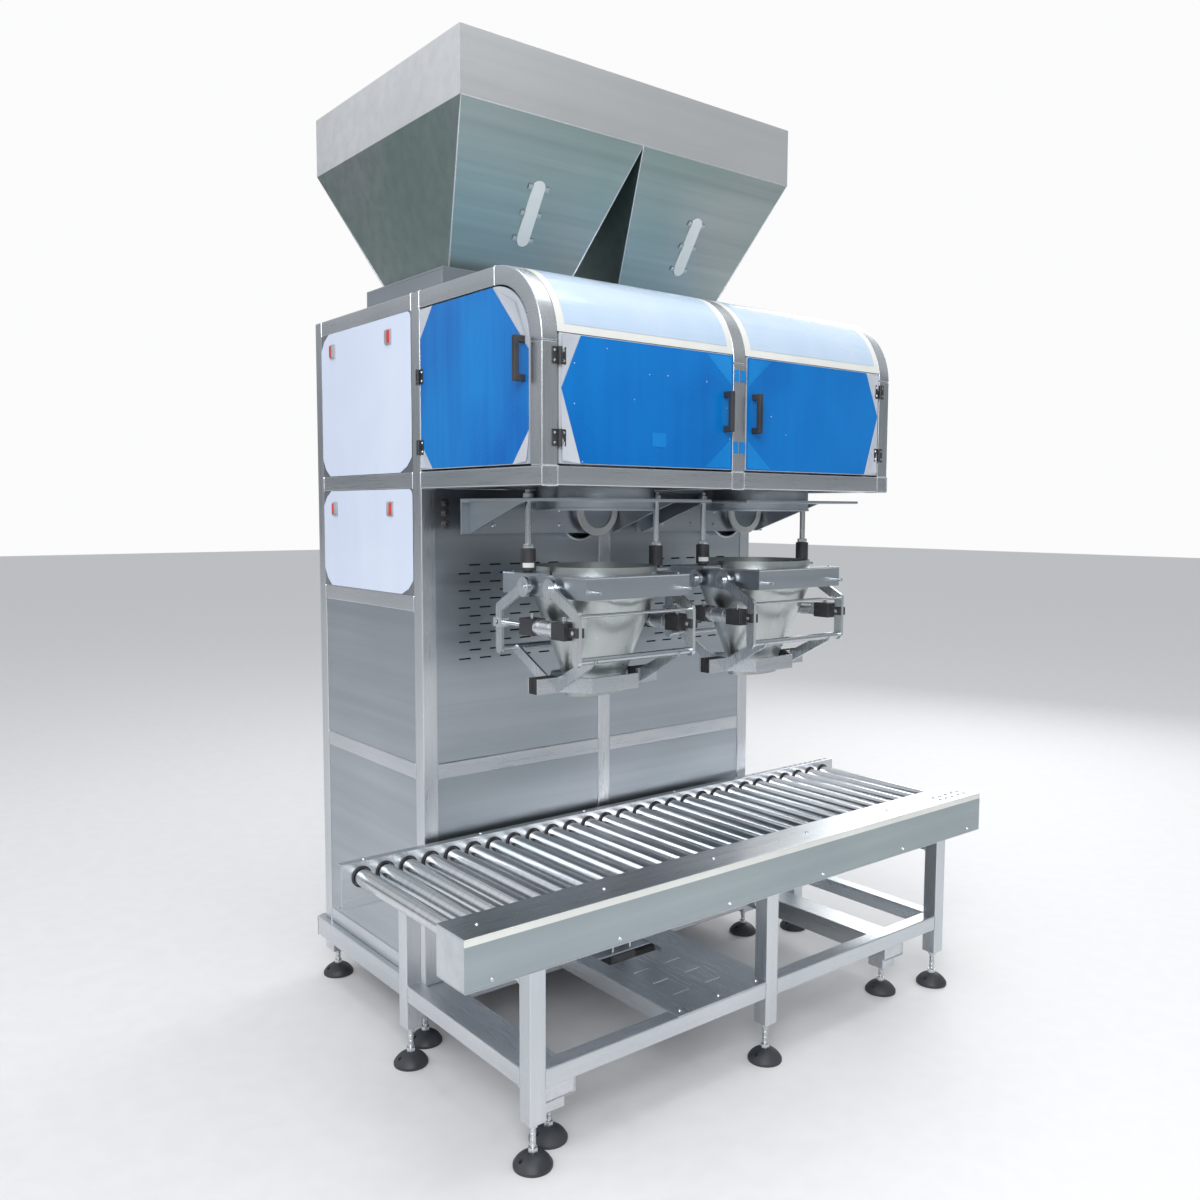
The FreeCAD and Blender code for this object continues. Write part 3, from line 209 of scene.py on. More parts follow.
def soft_clouds() -> NodeTree:
    """Large soft patches, for uneven sheen, handling marks and painted reflected tints.

    Returns:
        The group.
    """
    def lay(s: Sketch, start: Node) -> Sequence[Any]:
        """One distorted noise, cut to a range.

        Args:
            s: the group's sketch.
            start: its inputs.

        Returns:
            The patches.
        """
        cloud = s.add("ShaderNodeTexNoise", {"Vector": start.outputs["Vector"], "Scale": start.outputs["Scale"],
                                             "Detail": 1.5, "Roughness": 0.45, "Distortion": 0.4})
        low = s.maths("SUBTRACT", 0.5, start.outputs["Spread"])
        high = s.maths("ADD", 0.5, start.outputs["Spread"])
        node = s.add("ShaderNodeMapRange", {"Value": cloud.outputs[0], "From Min": low, "From Max": high})
        return (node.outputs["Result"],)

    return shader_effect("Soft clouds", {"Vector": VECTOR_INPUT, "Scale": (FLOAT, 2.0),
                                         "Spread": (FLOAT, 0.15)}, ("Mask",), lay)


def edge_shine_and_wear() -> NodeTree:
    """Marks on the rounded edges, broken up so that they don't look drawn: a painted highlight on steel, and on
    plastic scuffs of wear that are partly a painted highlight.

    Returns:
        The group.
    """
    def lay(s: Sketch, start: Node) -> Sequence[Any]:
        """The rounded edges' own mark, times a patchy noise.

        Args:
            s: the group's sketch.
            start: its inputs.

        Returns:
            The wear.
        """
        edge = s.add("ShaderNodeAttribute", attribute_name=SHINE_AND_WEAR_EDGE).outputs["Fac"]
        patchy = s.add("ShaderNodeTexNoise", {"Vector": start.outputs["Vector"], "Scale": 38.0, "Detail": 3.0})
        broken = s.ranged(patchy.outputs[0], 0.35, 0.6, 0.3, 1.0)
        return (s.times(s.times(edge, broken), start.outputs["Amount"]),)

    return shader_effect("Edge shine and wear", {"Vector": VECTOR_INPUT, "Amount": (FLOAT, 0.6)}, ("Mask",), lay)


def dust_specks() -> NodeTree:
    """Small scattered specks.

    Returns:
        The group.
    """
    def lay(s: Sketch, start: Node) -> Sequence[Any]:
        """Dots in a share of the cells of a cell pattern.

        Args:
            s: the group's sketch.
            start: its inputs.

        Returns:
            The specks.
        """
        cells = s.add("ShaderNodeTexVoronoi", {"Vector": start.outputs["Vector"], "Scale": start.outputs["Scale"]})
        near = s.maths("LESS_THAN", cells.outputs["Distance"], 0.1)
        chance = s.add("ShaderNodeSeparateColor", {0: cells.outputs["Color"]}).outputs[0]
        chosen = s.maths("LESS_THAN", chance, start.outputs["Share"])
        return (s.times(near, chosen),)

    return shader_effect("Dust specks", {"Vector": VECTOR_INPUT, "Scale": (FLOAT, 60.0),
                                         "Share": (FLOAT, 0.08)}, ("Mask",), lay)


def film_sheen() -> NodeTree:
    """Streaks of painted sheen and shallow wrinkles of thin protective film.

    Returns:
        The group.
    """
    def lay(s: Sketch, start: Node) -> Sequence[Any]:
        """Streaks along Z, and a wrinkle height.

        Args:
            s: the group's sketch.
            start: its inputs.

        Returns:
            The streaks and the wrinkles.
        """
        drawn = s.add("ShaderNodeVectorMath", {0: start.outputs["Vector"], 1: (1.0, 1.0, 0.07)},
                      operation="MULTIPLY").outputs[0]
        streak = s.add("ShaderNodeTexNoise", {"Vector": drawn, "Scale": start.outputs["Streaks"], "Detail": 4.0})
        wrinkle = s.add("ShaderNodeTexNoise", {"Vector": start.outputs["Vector"], "Scale": 7.0, "Detail": 2.0,
                                               "Distortion": 1.4})
        return s.ranged(streak.outputs[0], 0.35, 0.65, 0.0, 1.0), wrinkle.outputs[0]

    return shader_effect("Film sheen", {"Vector": VECTOR_INPUT, "Streaks": (FLOAT, 18.0)},
                         ("Streak", "Wrinkle"), lay)


# ---- finishes ----

@dataclass(frozen=True)
class Finish:
    """A surface finish that builds its own material."""

    name: str

    def material(self) -> bpy.types.Material:
        """The finish's material, built on first use.

        Returns:
            The material.
        """
        found = bpy.data.materials.get(self.name)
        if found:
            return found
        made = bpy.data.materials.new(self.name)
        made.use_nodes = True
        made.node_tree.nodes.clear()
        sketch = Sketch(made.node_tree)
        shader = sketch.add("ShaderNodeBsdfPrincipled")
        place = sketch.add("ShaderNodeTexCoord").outputs["Object"]
        self.lay(sketch, shader, place)
        sketch.add("ShaderNodeOutputMaterial", {"Surface": shader.outputs[0]})
        return made

    def lay(self, s: Sketch, shader: Node, place: NodeSocket) -> None:
        """Draw the finish.

        Args:
            s: the material's sketch.
            shader: its Principled BSDF.
            place: the object coordinates.
        """
        raise NotImplementedError

    def join(self, s: Sketch, shader: Node, colour: Any, roughness: Any,
             height: Any, strength: float, depth: float) -> None:
        """Feed colour, roughness and relief to the shader.

        Args:
            s: the material's sketch.
            shader: its Principled BSDF.
            colour: the colour's socket.
            roughness: the roughness's socket.
            height: the relief's socket.
            strength: how strong the relief looks.
            depth: the relief's depth, in metres.
        """
        s.tree.links.new(colour, shader.inputs["Base Color"])
        s.tree.links.new(roughness, shader.inputs["Roughness"])
        bump = s.add("ShaderNodeBump", {"Height": height, "Strength": strength, "Distance": depth})
        s.tree.links.new(bump.outputs[0], shader.inputs["Normal"])


@dataclass(frozen=True)
class Steel(Finish):
    """Brushed or drawn metal: grain lines, patches of painted reflected tint and a painted highlight on the rounded
    edges.
    """

    light: Colour = (0.66, 0.67, 0.70)
    dark: Colour = (0.46, 0.48, 0.52)
    tint: Colour = (0.44, 0.50, 0.52)
    stretch: Colour = (0.02, 1.0, 1.0)
    roughness: float = 0.30
    fine: float = 330.0
    broad: float = 24.0
    relief: float = 0.045
    shine_and_wear_amount: float = 0.6
    sway: float = 9.0

    def lay(self, s: Sketch, shader: Node, place: NodeSocket) -> None:
        """Grain, clouds of painted reflected tint, and the painted edge highlight.

        Args:
            s: the material's sketch.
            shader: its Principled BSDF.
            place: the object coordinates.
        """
        shader.inputs["Metallic"].default_value = 1.0
        along = s.add("ShaderNodeVectorMath", {0: place, 1: self.stretch}, operation="MULTIPLY").outputs[0]
        grain = s.effect(brushed_grain(), {"Vector": along, "Fine": self.fine, "Broad": self.broad})
        cloud = s.effect(soft_clouds(), {"Vector": place, "Scale": 1.7, "Spread": 0.2}).outputs["Mask"]
        shiny_worn_edge = s.effect(edge_shine_and_wear(), {"Vector": place, "Amount": self.shine_and_wear_amount}).outputs["Mask"]
        share = s.ranged(grain.outputs["Streak"], 0.0, 1.0, 0.3, 0.9)
        colour = s.blend(share, self.dark, self.light)
        # Soft patches of a painted reflected tint.
        colour = s.blend(s.times(cloud, 0.5), colour, self.tint)
        # Rounded edges turn near white: a painted highlight along them.
        colour = s.blend(shiny_worn_edge, colour, (0.90, 0.90, 0.91))
        rough = s.ranged(grain.outputs["Hairline"], 0.3, 0.7, self.roughness - 0.04, self.roughness + 0.05)
        height = s.maths("ADD", grain.outputs["Height"], s.times(cloud, self.sway))
        self.join(s, shader, colour, rough, height, self.relief, 0.0004)


@dataclass(frozen=True)
class Film(Finish):
    """Sheet under thin protective film: streaks of painted sheen, wrinkles, specks of dust and a gloss."""

    colour: Colour = (0.70, 0.80, 0.90)
    deep: Colour = (0.60, 0.72, 0.86)
    speck: Colour = (0.95, 0.96, 0.97)
    speck_share: float = 0.05
    roughness: float = 0.30
    gloss: float = 0.5
    streaks: float = 16.0
    relief: float = 0.25
    see_through: float = 1.0

    def lay(self, s: Sketch, shader: Node, place: NodeSocket) -> None:
        """Streaks, clouds and specks under a clear coat.

        Args:
            s: the material's sketch.
            shader: its Principled BSDF.
            place: the object coordinates.
        """
        shader.inputs["Coat Weight"].default_value = self.gloss
        shader.inputs["Coat Roughness"].default_value = 0.08
        shader.inputs["Specular IOR Level"].default_value = 0.25
        shader.inputs["Alpha"].default_value = self.see_through
        sheen = s.effect(film_sheen(), {"Vector": place, "Streaks": self.streaks})
        cloud = s.effect(soft_clouds(), {"Vector": place, "Scale": 2.6, "Spread": 0.14}).outputs["Mask"]
        dots = s.effect(dust_specks(), {"Vector": place, "Scale": 75.0, "Share": self.speck_share}).outputs["Mask"]
        # The streaks mixed into the colour are painted sheen.
        mixed = s.maths("ADD", s.times(sheen.outputs["Streak"], 0.35), s.times(cloud, 0.65))
        colour = s.blend(mixed, self.colour, self.deep)
        colour = s.blend(dots, colour, self.speck)
        rough = s.ranged(cloud, 0.0, 1.0, self.roughness - 0.05, self.roughness + 0.12)
        self.join(s, shader, colour, rough, sheen.outputs["Wrinkle"], self.relief, 0.004)


@dataclass(frozen=True)
class Moulded(Finish):
    """Moulded plastic, rubber or enamel: fine pitting, uneven sheen and scuffed edges, lighter on dark plastic as a
    painted highlight.
    """

    colour: Colour = (0.025, 0.025, 0.028)
    scuff_and_shine: Colour = (0.16, 0.16, 0.17)
    roughness: float = 0.45
    pits: float = 1100.0
    relief: float = 0.18
    gloss: float = 0.0
    shine_and_wear_amount: float = 0.5
    dust: float = 0.6

    def lay(self, s: Sketch, shader: Node, place: NodeSocket) -> None:
        """Pits, clouds, and scuffs on the edges that are partly a painted highlight.

        Args:
            s: the material's sketch.
            shader: its Principled BSDF.
            place: the object coordinates.
        """
        shader.inputs["Coat Weight"].default_value = self.gloss
        pits = s.add("ShaderNodeTexNoise", {"Vector": place, "Scale": self.pits, "Detail": 3.0}).outputs[0]
        cloud = s.effect(soft_clouds(), {"Vector": place, "Scale": 14.0, "Spread": 0.15}).outputs["Mask"]
        shiny_worn_edge = s.effect(edge_shine_and_wear(), {"Vector": place, "Amount": self.shine_and_wear_amount}).outputs["Mask"]
        dusty = tuple(c * (1.0 + self.dust) + self.dust * 0.02 for c in self.colour)
        colour = s.blend(s.times(cloud, 0.6), self.colour, dusty)
        # Edges take the scuff colour: wear, and on dark plastic also a painted highlight.
        colour = s.blend(shiny_worn_edge, colour, self.scuff_and_shine)
        rough = s.ranged(cloud, 0.0, 1.0, self.roughness - 0.07, self.roughness + 0.1)
        self.join(s, shader, colour, rough, pits, self.relief, 0.0003)


ALONG = {Axis.X: (0.02, 1.0, 1.0), Axis.Y: (1.0, 0.02, 1.0), Axis.Z: (1.0, 1.0, 0.02)}
AROUND = {Axis.X: (1.0, 0.06, 0.06), Axis.Y: (0.06, 1.0, 0.06), Axis.Z: (0.06, 0.06, 1.0)}


def grained(name: str, axis: Axis, **values: Any) -> Steel:
    """A steel whose grain runs along one axis."""
    return Steel(f"{name} along {axis.name}", stretch=ALONG[axis], **values)


def turned(name: str, axis: Axis, **values: Any) -> Steel:
    """A steel with turning lines round one axis."""
    return Steel(f"{name} round {axis.name}", stretch=AROUND[axis], **values)


BLACK_PLASTIC = Moulded("Black plastic")
PAD_PLASTIC = Moulded("Pad plastic", colour=(0.028, 0.032, 0.038), roughness=0.5)
BLACK_ENAMEL = Moulded("Black enamel", colour=(0.022, 0.022, 0.025), roughness=0.32, pits=240.0, gloss=0.35)
RUBBER = Moulded("Jaw rubber", colour=(0.018, 0.018, 0.019), roughness=0.78, pits=500.0, shine_and_wear_amount=0.2)
GASKET = Moulded("White gasket", colour=(0.88, 0.89, 0.88), scuff_and_shine=(0.7, 0.7, 0.7), roughness=0.5, shine_and_wear_amount=0.3,
                 dust=0.03)
LABEL = Moulded("Blank label", colour=(0.62, 0.63, 0.63), scuff_and_shine=(0.5, 0.5, 0.5), roughness=0.4, shine_and_wear_amount=0.2, dust=0.1)
RED_ROCKER = Moulded("Red rocker", colour=(0.55, 0.03, 0.03), scuff_and_shine=(0.6, 0.3, 0.3), roughness=0.4)
GREY_ROCKER = Moulded("Grey rocker", colour=(0.30, 0.31, 0.33), scuff_and_shine=(0.5, 0.5, 0.5), roughness=0.4)
WINDOW = Film("Sight window", colour=(0.72, 0.74, 0.72), deep=(0.62, 0.65, 0.64), speck_share=0.02, gloss=0.7)
BLUE_FILM = Film("Blue film", colour=(0.0, 0.13, 0.46), deep=(0.0, 0.19, 0.58), speck_share=0.035, gloss=0.3,
                 roughness=0.28, relief=0.3)
BLUE_LIGHT = Film("Light blue film", colour=(0.0, 0.18, 0.55), deep=(0.01, 0.25, 0.66), gloss=0.3)
BLUE_STREAK = Film("Streaked blue film", colour=(0.0, 0.12, 0.46), deep=(0.0, 0.21, 0.60), speck_share=0.07,
                   gloss=0.3, streaks=34.0, relief=0.4)
PALE_FILM = Film("Pale film", colour=(0.54, 0.65, 0.78), deep=(0.47, 0.60, 0.76), speck_share=0.01, gloss=0.6,
                 roughness=0.25)
WHITE_FILM = Film("White film", colour=(0.72, 0.79, 0.93), deep=(0.66, 0.73, 0.89), speck_share=0.015, gloss=0.25,
                  roughness=0.42, streaks=9.0)
# Pale bare edges of the covers, and on the chain case's top lip a painted highlight.
PALE_EDGE_AND_HIGHLIGHT = Film("Pale edge and highlight", colour=(0.78, 0.79, 0.75), deep=(0.70, 0.71, 0.68), speck_share=0.01, gloss=0.4)
CLEAR_SHEET = Film("Clear sheet", colour=(0.40, 0.44, 0.49), deep=(0.56, 0.59, 0.64), speck_share=0.02, gloss=0.9,
                   roughness=0.2)
PEELED_FILM = Film("Peeled film", colour=(0.72, 0.75, 0.80), deep=(0.58, 0.62, 0.70), gloss=0.6, relief=0.5,
                   see_through=0.72)
ZINC = Steel("Zinc plate", light=(0.84, 0.85, 0.87), dark=(0.62, 0.63, 0.66), stretch=(1.0, 1.0, 1.0),
             roughness=0.24, broad=60.0, relief=0.08)
CHROME_ROD = turned("Ground rod", Axis.Y, light=(0.9, 0.9, 0.92), dark=(0.76, 0.77, 0.80), roughness=0.12,
                    relief=0.02, sway=0.0)
BARREL = grained("Anodised barrel", Axis.Y, light=(0.82, 0.83, 0.85), dark=(0.66, 0.67, 0.70), roughness=0.34)
ROLLER = turned("Roller zinc", Axis.Y, light=(0.88, 0.88, 0.90), dark=(0.70, 0.71, 0.74), roughness=0.18,
                broad=55.0, relief=0.03, sway=0.0)
SPROCKET = Steel("Sprocket steel", light=(0.36, 0.36, 0.37), dark=(0.2, 0.2, 0.21), roughness=0.42)
WELD = Steel("Weld bead", light=(0.88, 0.88, 0.9), dark=(0.5, 0.5, 0.55), stretch=(1.0, 1.0, 1.0),
             roughness=0.36, broad=260.0, relief=0.4)


def frame_steel(axis: Axis) -> Steel:
    """Square tube, brushed along its length."""
    return grained("Frame tube", axis, light=(0.78, 0.79, 0.82), dark=(0.64, 0.66, 0.70), roughness=0.30)


def sheet_steel(axis: Axis) -> Steel:
    """Brushed sheet of the machine's panels."""
    return grained("Panel sheet", axis, light=(0.54, 0.57, 0.61), dark=(0.40, 0.43, 0.48),
                   tint=(0.35, 0.41, 0.43), roughness=0.33)


# ---- shells of a CAD node ----

@dataclass(eq=False)
class Shell:
    """One closed solid of a CAD node."""

    points: list[Vector]
    faces: list[tuple[int, ...]]

    def __post_init__(self) -> None:
        """Measure the solid."""
        self.low = Vector([min(p[i] for p in self.points) for i in range(3)])
        self.high = Vector([max(p[i] for p in self.points) for i in range(3)])
        self.size = self.high - self.low
        self.centre = (self.high + self.low) / 2

    @property
    def long_axis(self) -> Axis:
        """The axis of its longest side."""
        return Axis(max(range(3), key=lambda i: self.size[i]))

    @property
    def side(self) -> int:
        """-1 on the machine's left, 1 on its right."""
        return -1 if self.centre.x < MIDDLE else 1

    @property
    def outer_x(self) -> float:
        """Where its outward side face is."""
        return (self.low if self.side < 0 else self.high).x

    def measures(self, x: float | None, y: float | None, z: float | None, slack: float = 1.5) -> bool:
        """Whether its box has these sides, in millimetres; None stands for any."""
        return all(want is None or abs(have * 1000 - want) < slack for want, have in zip((x, y, z), self.size))

    def mesh(self) -> BMesh:
        """The solid as a mesh with flat parts joined up.

        Returns:
            The mesh, for the caller to free.
        """
        bm = bmesh.new()
        verts = [bm.verts.new(p) for p in self.points]
        for face in self.faces:
            corners = [verts[i] for i in face]
            if not bm.faces.get(corners):
                bm.faces.new(corners)
        bmesh.ops.dissolve_limit(bm, angle_limit=math.radians(0.5), verts=bm.verts[:], edges=bm.edges[:])
        return bm


SHELLS: dict[str, list[Shell]] = {}


def shells_of(node: str) -> list[Shell]:
    """The closed solids of a CAD node.

    A node's mesh is loose triangles, one solid after another. A solid ends where every edge
    so far has met its mate, so solids that touch stay apart.

    Args:
        node: the CAD node's name.

    Returns:
        Its solids, in the order of its triangles.
    """
    if node in SHELLS:
        return SHELLS[node]
    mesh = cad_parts[node].data
    places: dict[tuple[float, ...], int] = {}
    ids = [places.setdefault(tuple(round(c, 6) for c in v.co), len(places)) for v in mesh.vertices]
    points = [Vector(p) for p in places]
    triangles = [tuple(ids[i] for i in p.vertices) for p in mesh.polygons]
    waiting: dict[tuple[int, int], int] = {}
    groups: list[list[tuple[int, ...]]] = [[]]
    for a, b, c in (t for t in triangles if len(set(t)) == 3):
        if groups[-1] and not waiting:
            groups.append([])
        groups[-1].append((a, b, c))
        for one, two in ((a, b), (b, c), (c, a)):
            key, step = ((two, one), -1) if (two, one) in waiting else ((one, two), 1)
            waiting[key] = waiting.get(key, 0) + step
            if not waiting[key]:
                del waiting[key]
    made = []
    for group in groups:
        used = sorted({i for t in group for i in t})
        order = {old: new for new, old in enumerate(used)}
        made.append(Shell([points[i] for i in used], [tuple(order[i] for i in t) for t in group]))
    SHELLS[node] = made
    return made


# ---- pieces in the making ----

Choice = Callable[[Shell], Finish]
Paint = Callable[[Vector, Vector], "Finish | None"]


class Draft:
    """A piece in the making: solids, sheets and rings with their finishes."""

    def __init__(self) -> None:
        """Start with nothing."""
        self.bm = bmesh.new()
        self.bm.faces.layers.float.new(SHINE_AND_WEAR_EDGE)
        self.finishes: list[Finish] = []

    def slot(self, finish: Finish) -> int:
        """The index of a finish, added if it is new.

        Args:
            finish: the finish.

        Returns:
            Its place among the piece's materials.
        """
        if finish not in self.finishes:
            self.finishes.append(finish)
        return self.finishes.index(finish)

    def take(self, part: BMesh, finish: Finish, paint: Paint | None = None) -> None:
        """Add a part and free it.

        Args:
            part: the part's mesh.
            finish: its finish.
            paint: gives another finish for a face, from its middle and its normal.
        """
        index = self.slot(finish)
        part.normal_update()
        if SHINE_AND_WEAR_EDGE not in part.faces.layers.float:
            part.faces.layers.float.new(SHINE_AND_WEAR_EDGE)
        for face in part.faces:
            other = paint(face.calc_center_median(), face.normal) if paint else None
            face.material_index = self.slot(other) if other else index
        self.take_mesh(part)

    def take_mesh(self, part: BMesh) -> None:
        """Add a part whose material indices are set, and free it.

        Args:
            part: the part's mesh.
        """
        passing = bpy.data.meshes.new("passing")
        part.to_mesh(passing)
        part.free()
        self.bm.from_mesh(passing)
        bpy.data.meshes.remove(passing)

    def made(self, mesh: Mesh, finish: Finish) -> None:
        """Add the mesh that a recipe made, and remove it.

        Args:
            mesh: the recipe's mesh.
            finish: its finish.
        """
        part = bmesh.new()
        part.from_mesh(mesh)
        bpy.data.meshes.remove(mesh)
        self.take(part, finish)

    def solids(self, shells: Iterable[Shell], choose: Choice, edge: float, steps: int = 2,
               cuts: Sequence[tuple[Vector, Vector]] = (), paint: Paint | None = None) -> None:
        """Add CAD solids with their sharp edges rounded.

        Args:
            shells: the solids.
            choose: gives each solid's finish.
            edge: the rounding's width, in metres.
            steps: faces across a rounding.
            cuts: planes (point, normal) that split faces, for paint.
            paint: gives another finish for some faces.
        """
        for shell in shells:
            part = shell.mesh()
            rounded(part, min(edge, min(shell.size) * 0.3), steps)
            for point, normal in cuts:
                geometry = part.verts[:] + part.edges[:] + part.faces[:]
                bmesh.ops.bisect_plane(part, geom=geometry, plane_co=point, plane_no=normal, dist=1e-6)
            self.take(part, choose(shell), paint)

    def block(self, low: Vector, high: Vector, finish: Finish, edge: float) -> None:
        """Add a box with rounded edges.

        Args:
            low: its lowest corner.
            high: its highest corner.
            finish: its finish.
            edge: the rounding's width, in metres.
        """
        part = bmesh.new()
        bmesh.ops.create_cube(part, size=1.0)
        middle, size = (low + high) / 2, high - low
        for vert in part.verts:
            vert.co = middle + Vector([vert.co[i] * size[i] for i in range(3)])
        rounded(part, edge, 3)
        self.take(part, finish)

    def lathe(self, profile: Sequence[tuple[float, float]], base: Vector, axis: Vector, finish: Finish,
              count: int = 24) -> None:
        """Add a turned shape.

        Args:
            profile: (radius, height) points from one end to the other; ends at radius 0 close it.
            base: where height is 0.
            axis: the turning axis.
            finish: its finish.
            count: faces round the axis.
        """
        part = bmesh.new()
        turn = axis.to_track_quat("Z", "Y").to_matrix()
        rings = []
        for radius, height in profile:
            if radius == 0:
                rings.append([part.verts.new(base + turn @ Vector((0, 0, height)))])
                continue
            angles = [math.tau * i / count for i in range(count)]
            rings.append([part.verts.new(base + turn @ Vector((radius * math.cos(a), radius * math.sin(a), height)))
                          for a in angles])
        for one, two in zip(rings, rings[1:]):
            for i in range(count):
                j = (i + 1) % count
                corners = [one[i % len(one)], one[j % len(one)], two[j % len(two)], two[i % len(two)]]
                part.faces.new(list(dict.fromkeys(corners)))
        bmesh.ops.recalc_face_normals(part, faces=part.faces[:])
        self.take(part, finish)

    def publish(self, name: str, body: str, slot: str, *replaced: str) -> bpy.types.Object:
        """Make the piece: its mesh, materials, body and the CAD nodes it stands for.

        Args:
            name: the piece's name.
            body: the CAD body it rides on.
            slot: the record's material slot; not used.
            replaced: CAD nodes it stands for.

        Returns:
            The piece.
        """
        mesh = bpy.data.meshes.new(name)
        self.bm.to_mesh(mesh)
        self.bm.free()
        for finish in self.finishes:
            mesh.materials.append(finish.material())
        mesh.shade_smooth()
        mesh.set_sharp_from_angle(angle=math.radians(38))
        piece = bpy.data.objects.new(name, mesh)
        bpy.context.scene.collection.objects.link(piece)
        even = piece.modifiers.new("Even shading", "WEIGHTED_NORMAL")
        even.keep_sharp = True
        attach(piece, body)
        if replaced:
            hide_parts(*replaced)
        LOG.info("%s: %d faces on %s", name, len(mesh.polygons), body)
        return piece


SHARP = math.radians(28)


def rounded(part: BMesh, width: float, steps: int) -> None:
    """Round the sharp edges of a mesh, and mark the new faces for the painted edge highlight and wear.

    Args:
        part: the mesh, which is changed.
        width: the rounding's width, in metres.
        steps: faces across it.
    """
    part.normal_update()
    sharp = [e for e in part.edges if len(e.link_faces) == 2 and e.calc_face_angle(0.0) > SHARP]
    if sharp and width > 1e-5:
        made = bmesh.ops.bevel(part, geom=sharp, offset=width, segments=steps, profile=0.5, affect="EDGES",
                               clamp_overlap=True)
        layer = part.faces.layers.float.get(SHINE_AND_WEAR_EDGE) or part.faces.layers.float.new(SHINE_AND_WEAR_EDGE)
        for face in made["faces"]:
            if face.is_valid:
                face[layer] = 1.0


# ---- sheets of film ----

@dataclass
class FilmSheet:
    """Thin film on a flat face, with torn corners and shallow waves."""

    lift: float = 0.0004
    thickness: float = 0.0003
    wave: float = 0.0009
    pitch: float = 0.035
    ripple: float = 9.0

    def lay(self, outline: Sequence[Vector], normal: Vector,
            cuts: Sequence[tuple[Vector, Vector]] = ()) -> BMesh:
        """The sheet's mesh.

        Args:
            outline: its corners in order, on the face it covers.
            normal: the face's outward direction.
            cuts: planes (point, outward normal) that trim it.

        Returns:
            A closed thin sheet.
        """
        part = bmesh.new()
        part.faces.new([part.verts.new(p) for p in outline])
        first = (outline[1] - outline[0]).normalized()
        for direction in (first, normal.cross(first)):
            reach = [p.dot(direction) for p in outline]
            count = int((max(reach) - min(reach)) / self.pitch)
            for i in range(1, count):
                level = min(reach) + (max(reach) - min(reach)) * i / count
                cut(part, direction * level, direction, False)
        for point, away in cuts:
            cut(part, point, away, True)
        return self.thicken(part, lambda vert: normal)

    def thicken(self, part: BMesh, outward: Callable[[Any], Vector]) -> BMesh:
        """Wave a sheet's points and give it its thickness.

        Args:
            part: the open sheet, which is changed.
            outward: gives the outward direction at a point.

        Returns:
            The same mesh, closed.
        """
        moves = {v: outward(v) * (self.lift + self.wave * (0.5 + 0.5 * noise.noise(v.co * self.ripple)))
                 for v in part.verts}
        under = {}
        for vert, move in moves.items():
            under[vert] = part.verts.new(vert.co + move - outward(vert) * self.thickness)
            vert.co += move
        rims = [tuple(e.verts) for e in part.edges if len(e.link_faces) == 1]
        faces = part.faces[:]
        for face in faces:
            part.faces.new([under[v] for v in reversed(face.verts)])
        for a, b in rims:
            part.faces.new([a, b, under[b], under[a]])
        bmesh.ops.recalc_face_normals(part, faces=part.faces[:])
        return part

    def flap(self, one: Vector, two: Vector, tip: Vector, normal: Vector, curl: float) -> BMesh:
        """A torn triangle folded back over the sheet.

        Args:
            one: one end of the fold.
            two: its other end.
            tip: the triangle's loose tip, on the face.
            normal: the face's outward direction.
            curl: how far the tip stands off, in metres.

        Returns:
            A closed thin triangle.
        """
        part = bmesh.new()
        rows: list[list[Any]] = []
        steps, swell = 8, 0.0006
        for i in range(steps + 1):
            t = i / steps
            count = steps - i
            row = []
            for j in range(count + 1):
                s = j / count if count else 0.0
                place = one.lerp(two, s).lerp(tip, t)
                rise = self.lift + self.wave + swell * math.sin(math.pi * min(1.0, t * 4)) + curl * t * t
                row.append(part.verts.new(place + normal * rise))
            rows.append(row)
        for upper, lower in zip(rows, rows[1:]):
            for j in range(len(lower)):
                part.faces.new([upper[j], upper[j + 1], lower[j]])
                if j + 1 < len(lower):
                    part.faces.new([upper[j + 1], lower[j + 1], lower[j]])
        return FilmSheet(lift=0.0, wave=0.0002).thicken(part, lambda vert: normal)


def cut(part: BMesh, point: Vector, normal: Vector, drop: bool) -> None:
    """Split a mesh with a plane, and drop what lies outside it if asked."""
    geometry = part.verts[:] + part.edges[:] + part.faces[:]
    bmesh.ops.bisect_plane(part, geom=geometry, plane_co=point, plane_no=normal, dist=1e-6, clear_outer=drop)


def corner_cut(corner: Vector, one: Vector, two: Vector, normal: Vector) -> tuple[Vector, Vector]:
    """The plane that trims a corner through two points.

    Args:
        corner: the corner that comes off.
        one: one point on the cut.
        two: the other.
        normal: the face's outward direction.

    Returns:
        A point on the plane, and the plane's normal, towards the corner.
    """
    away = (two - one).cross(normal).normalized()
    if (corner - one).dot(away) < 0:
        away = -away
    return one, away


# ---- geometry node recipes ----

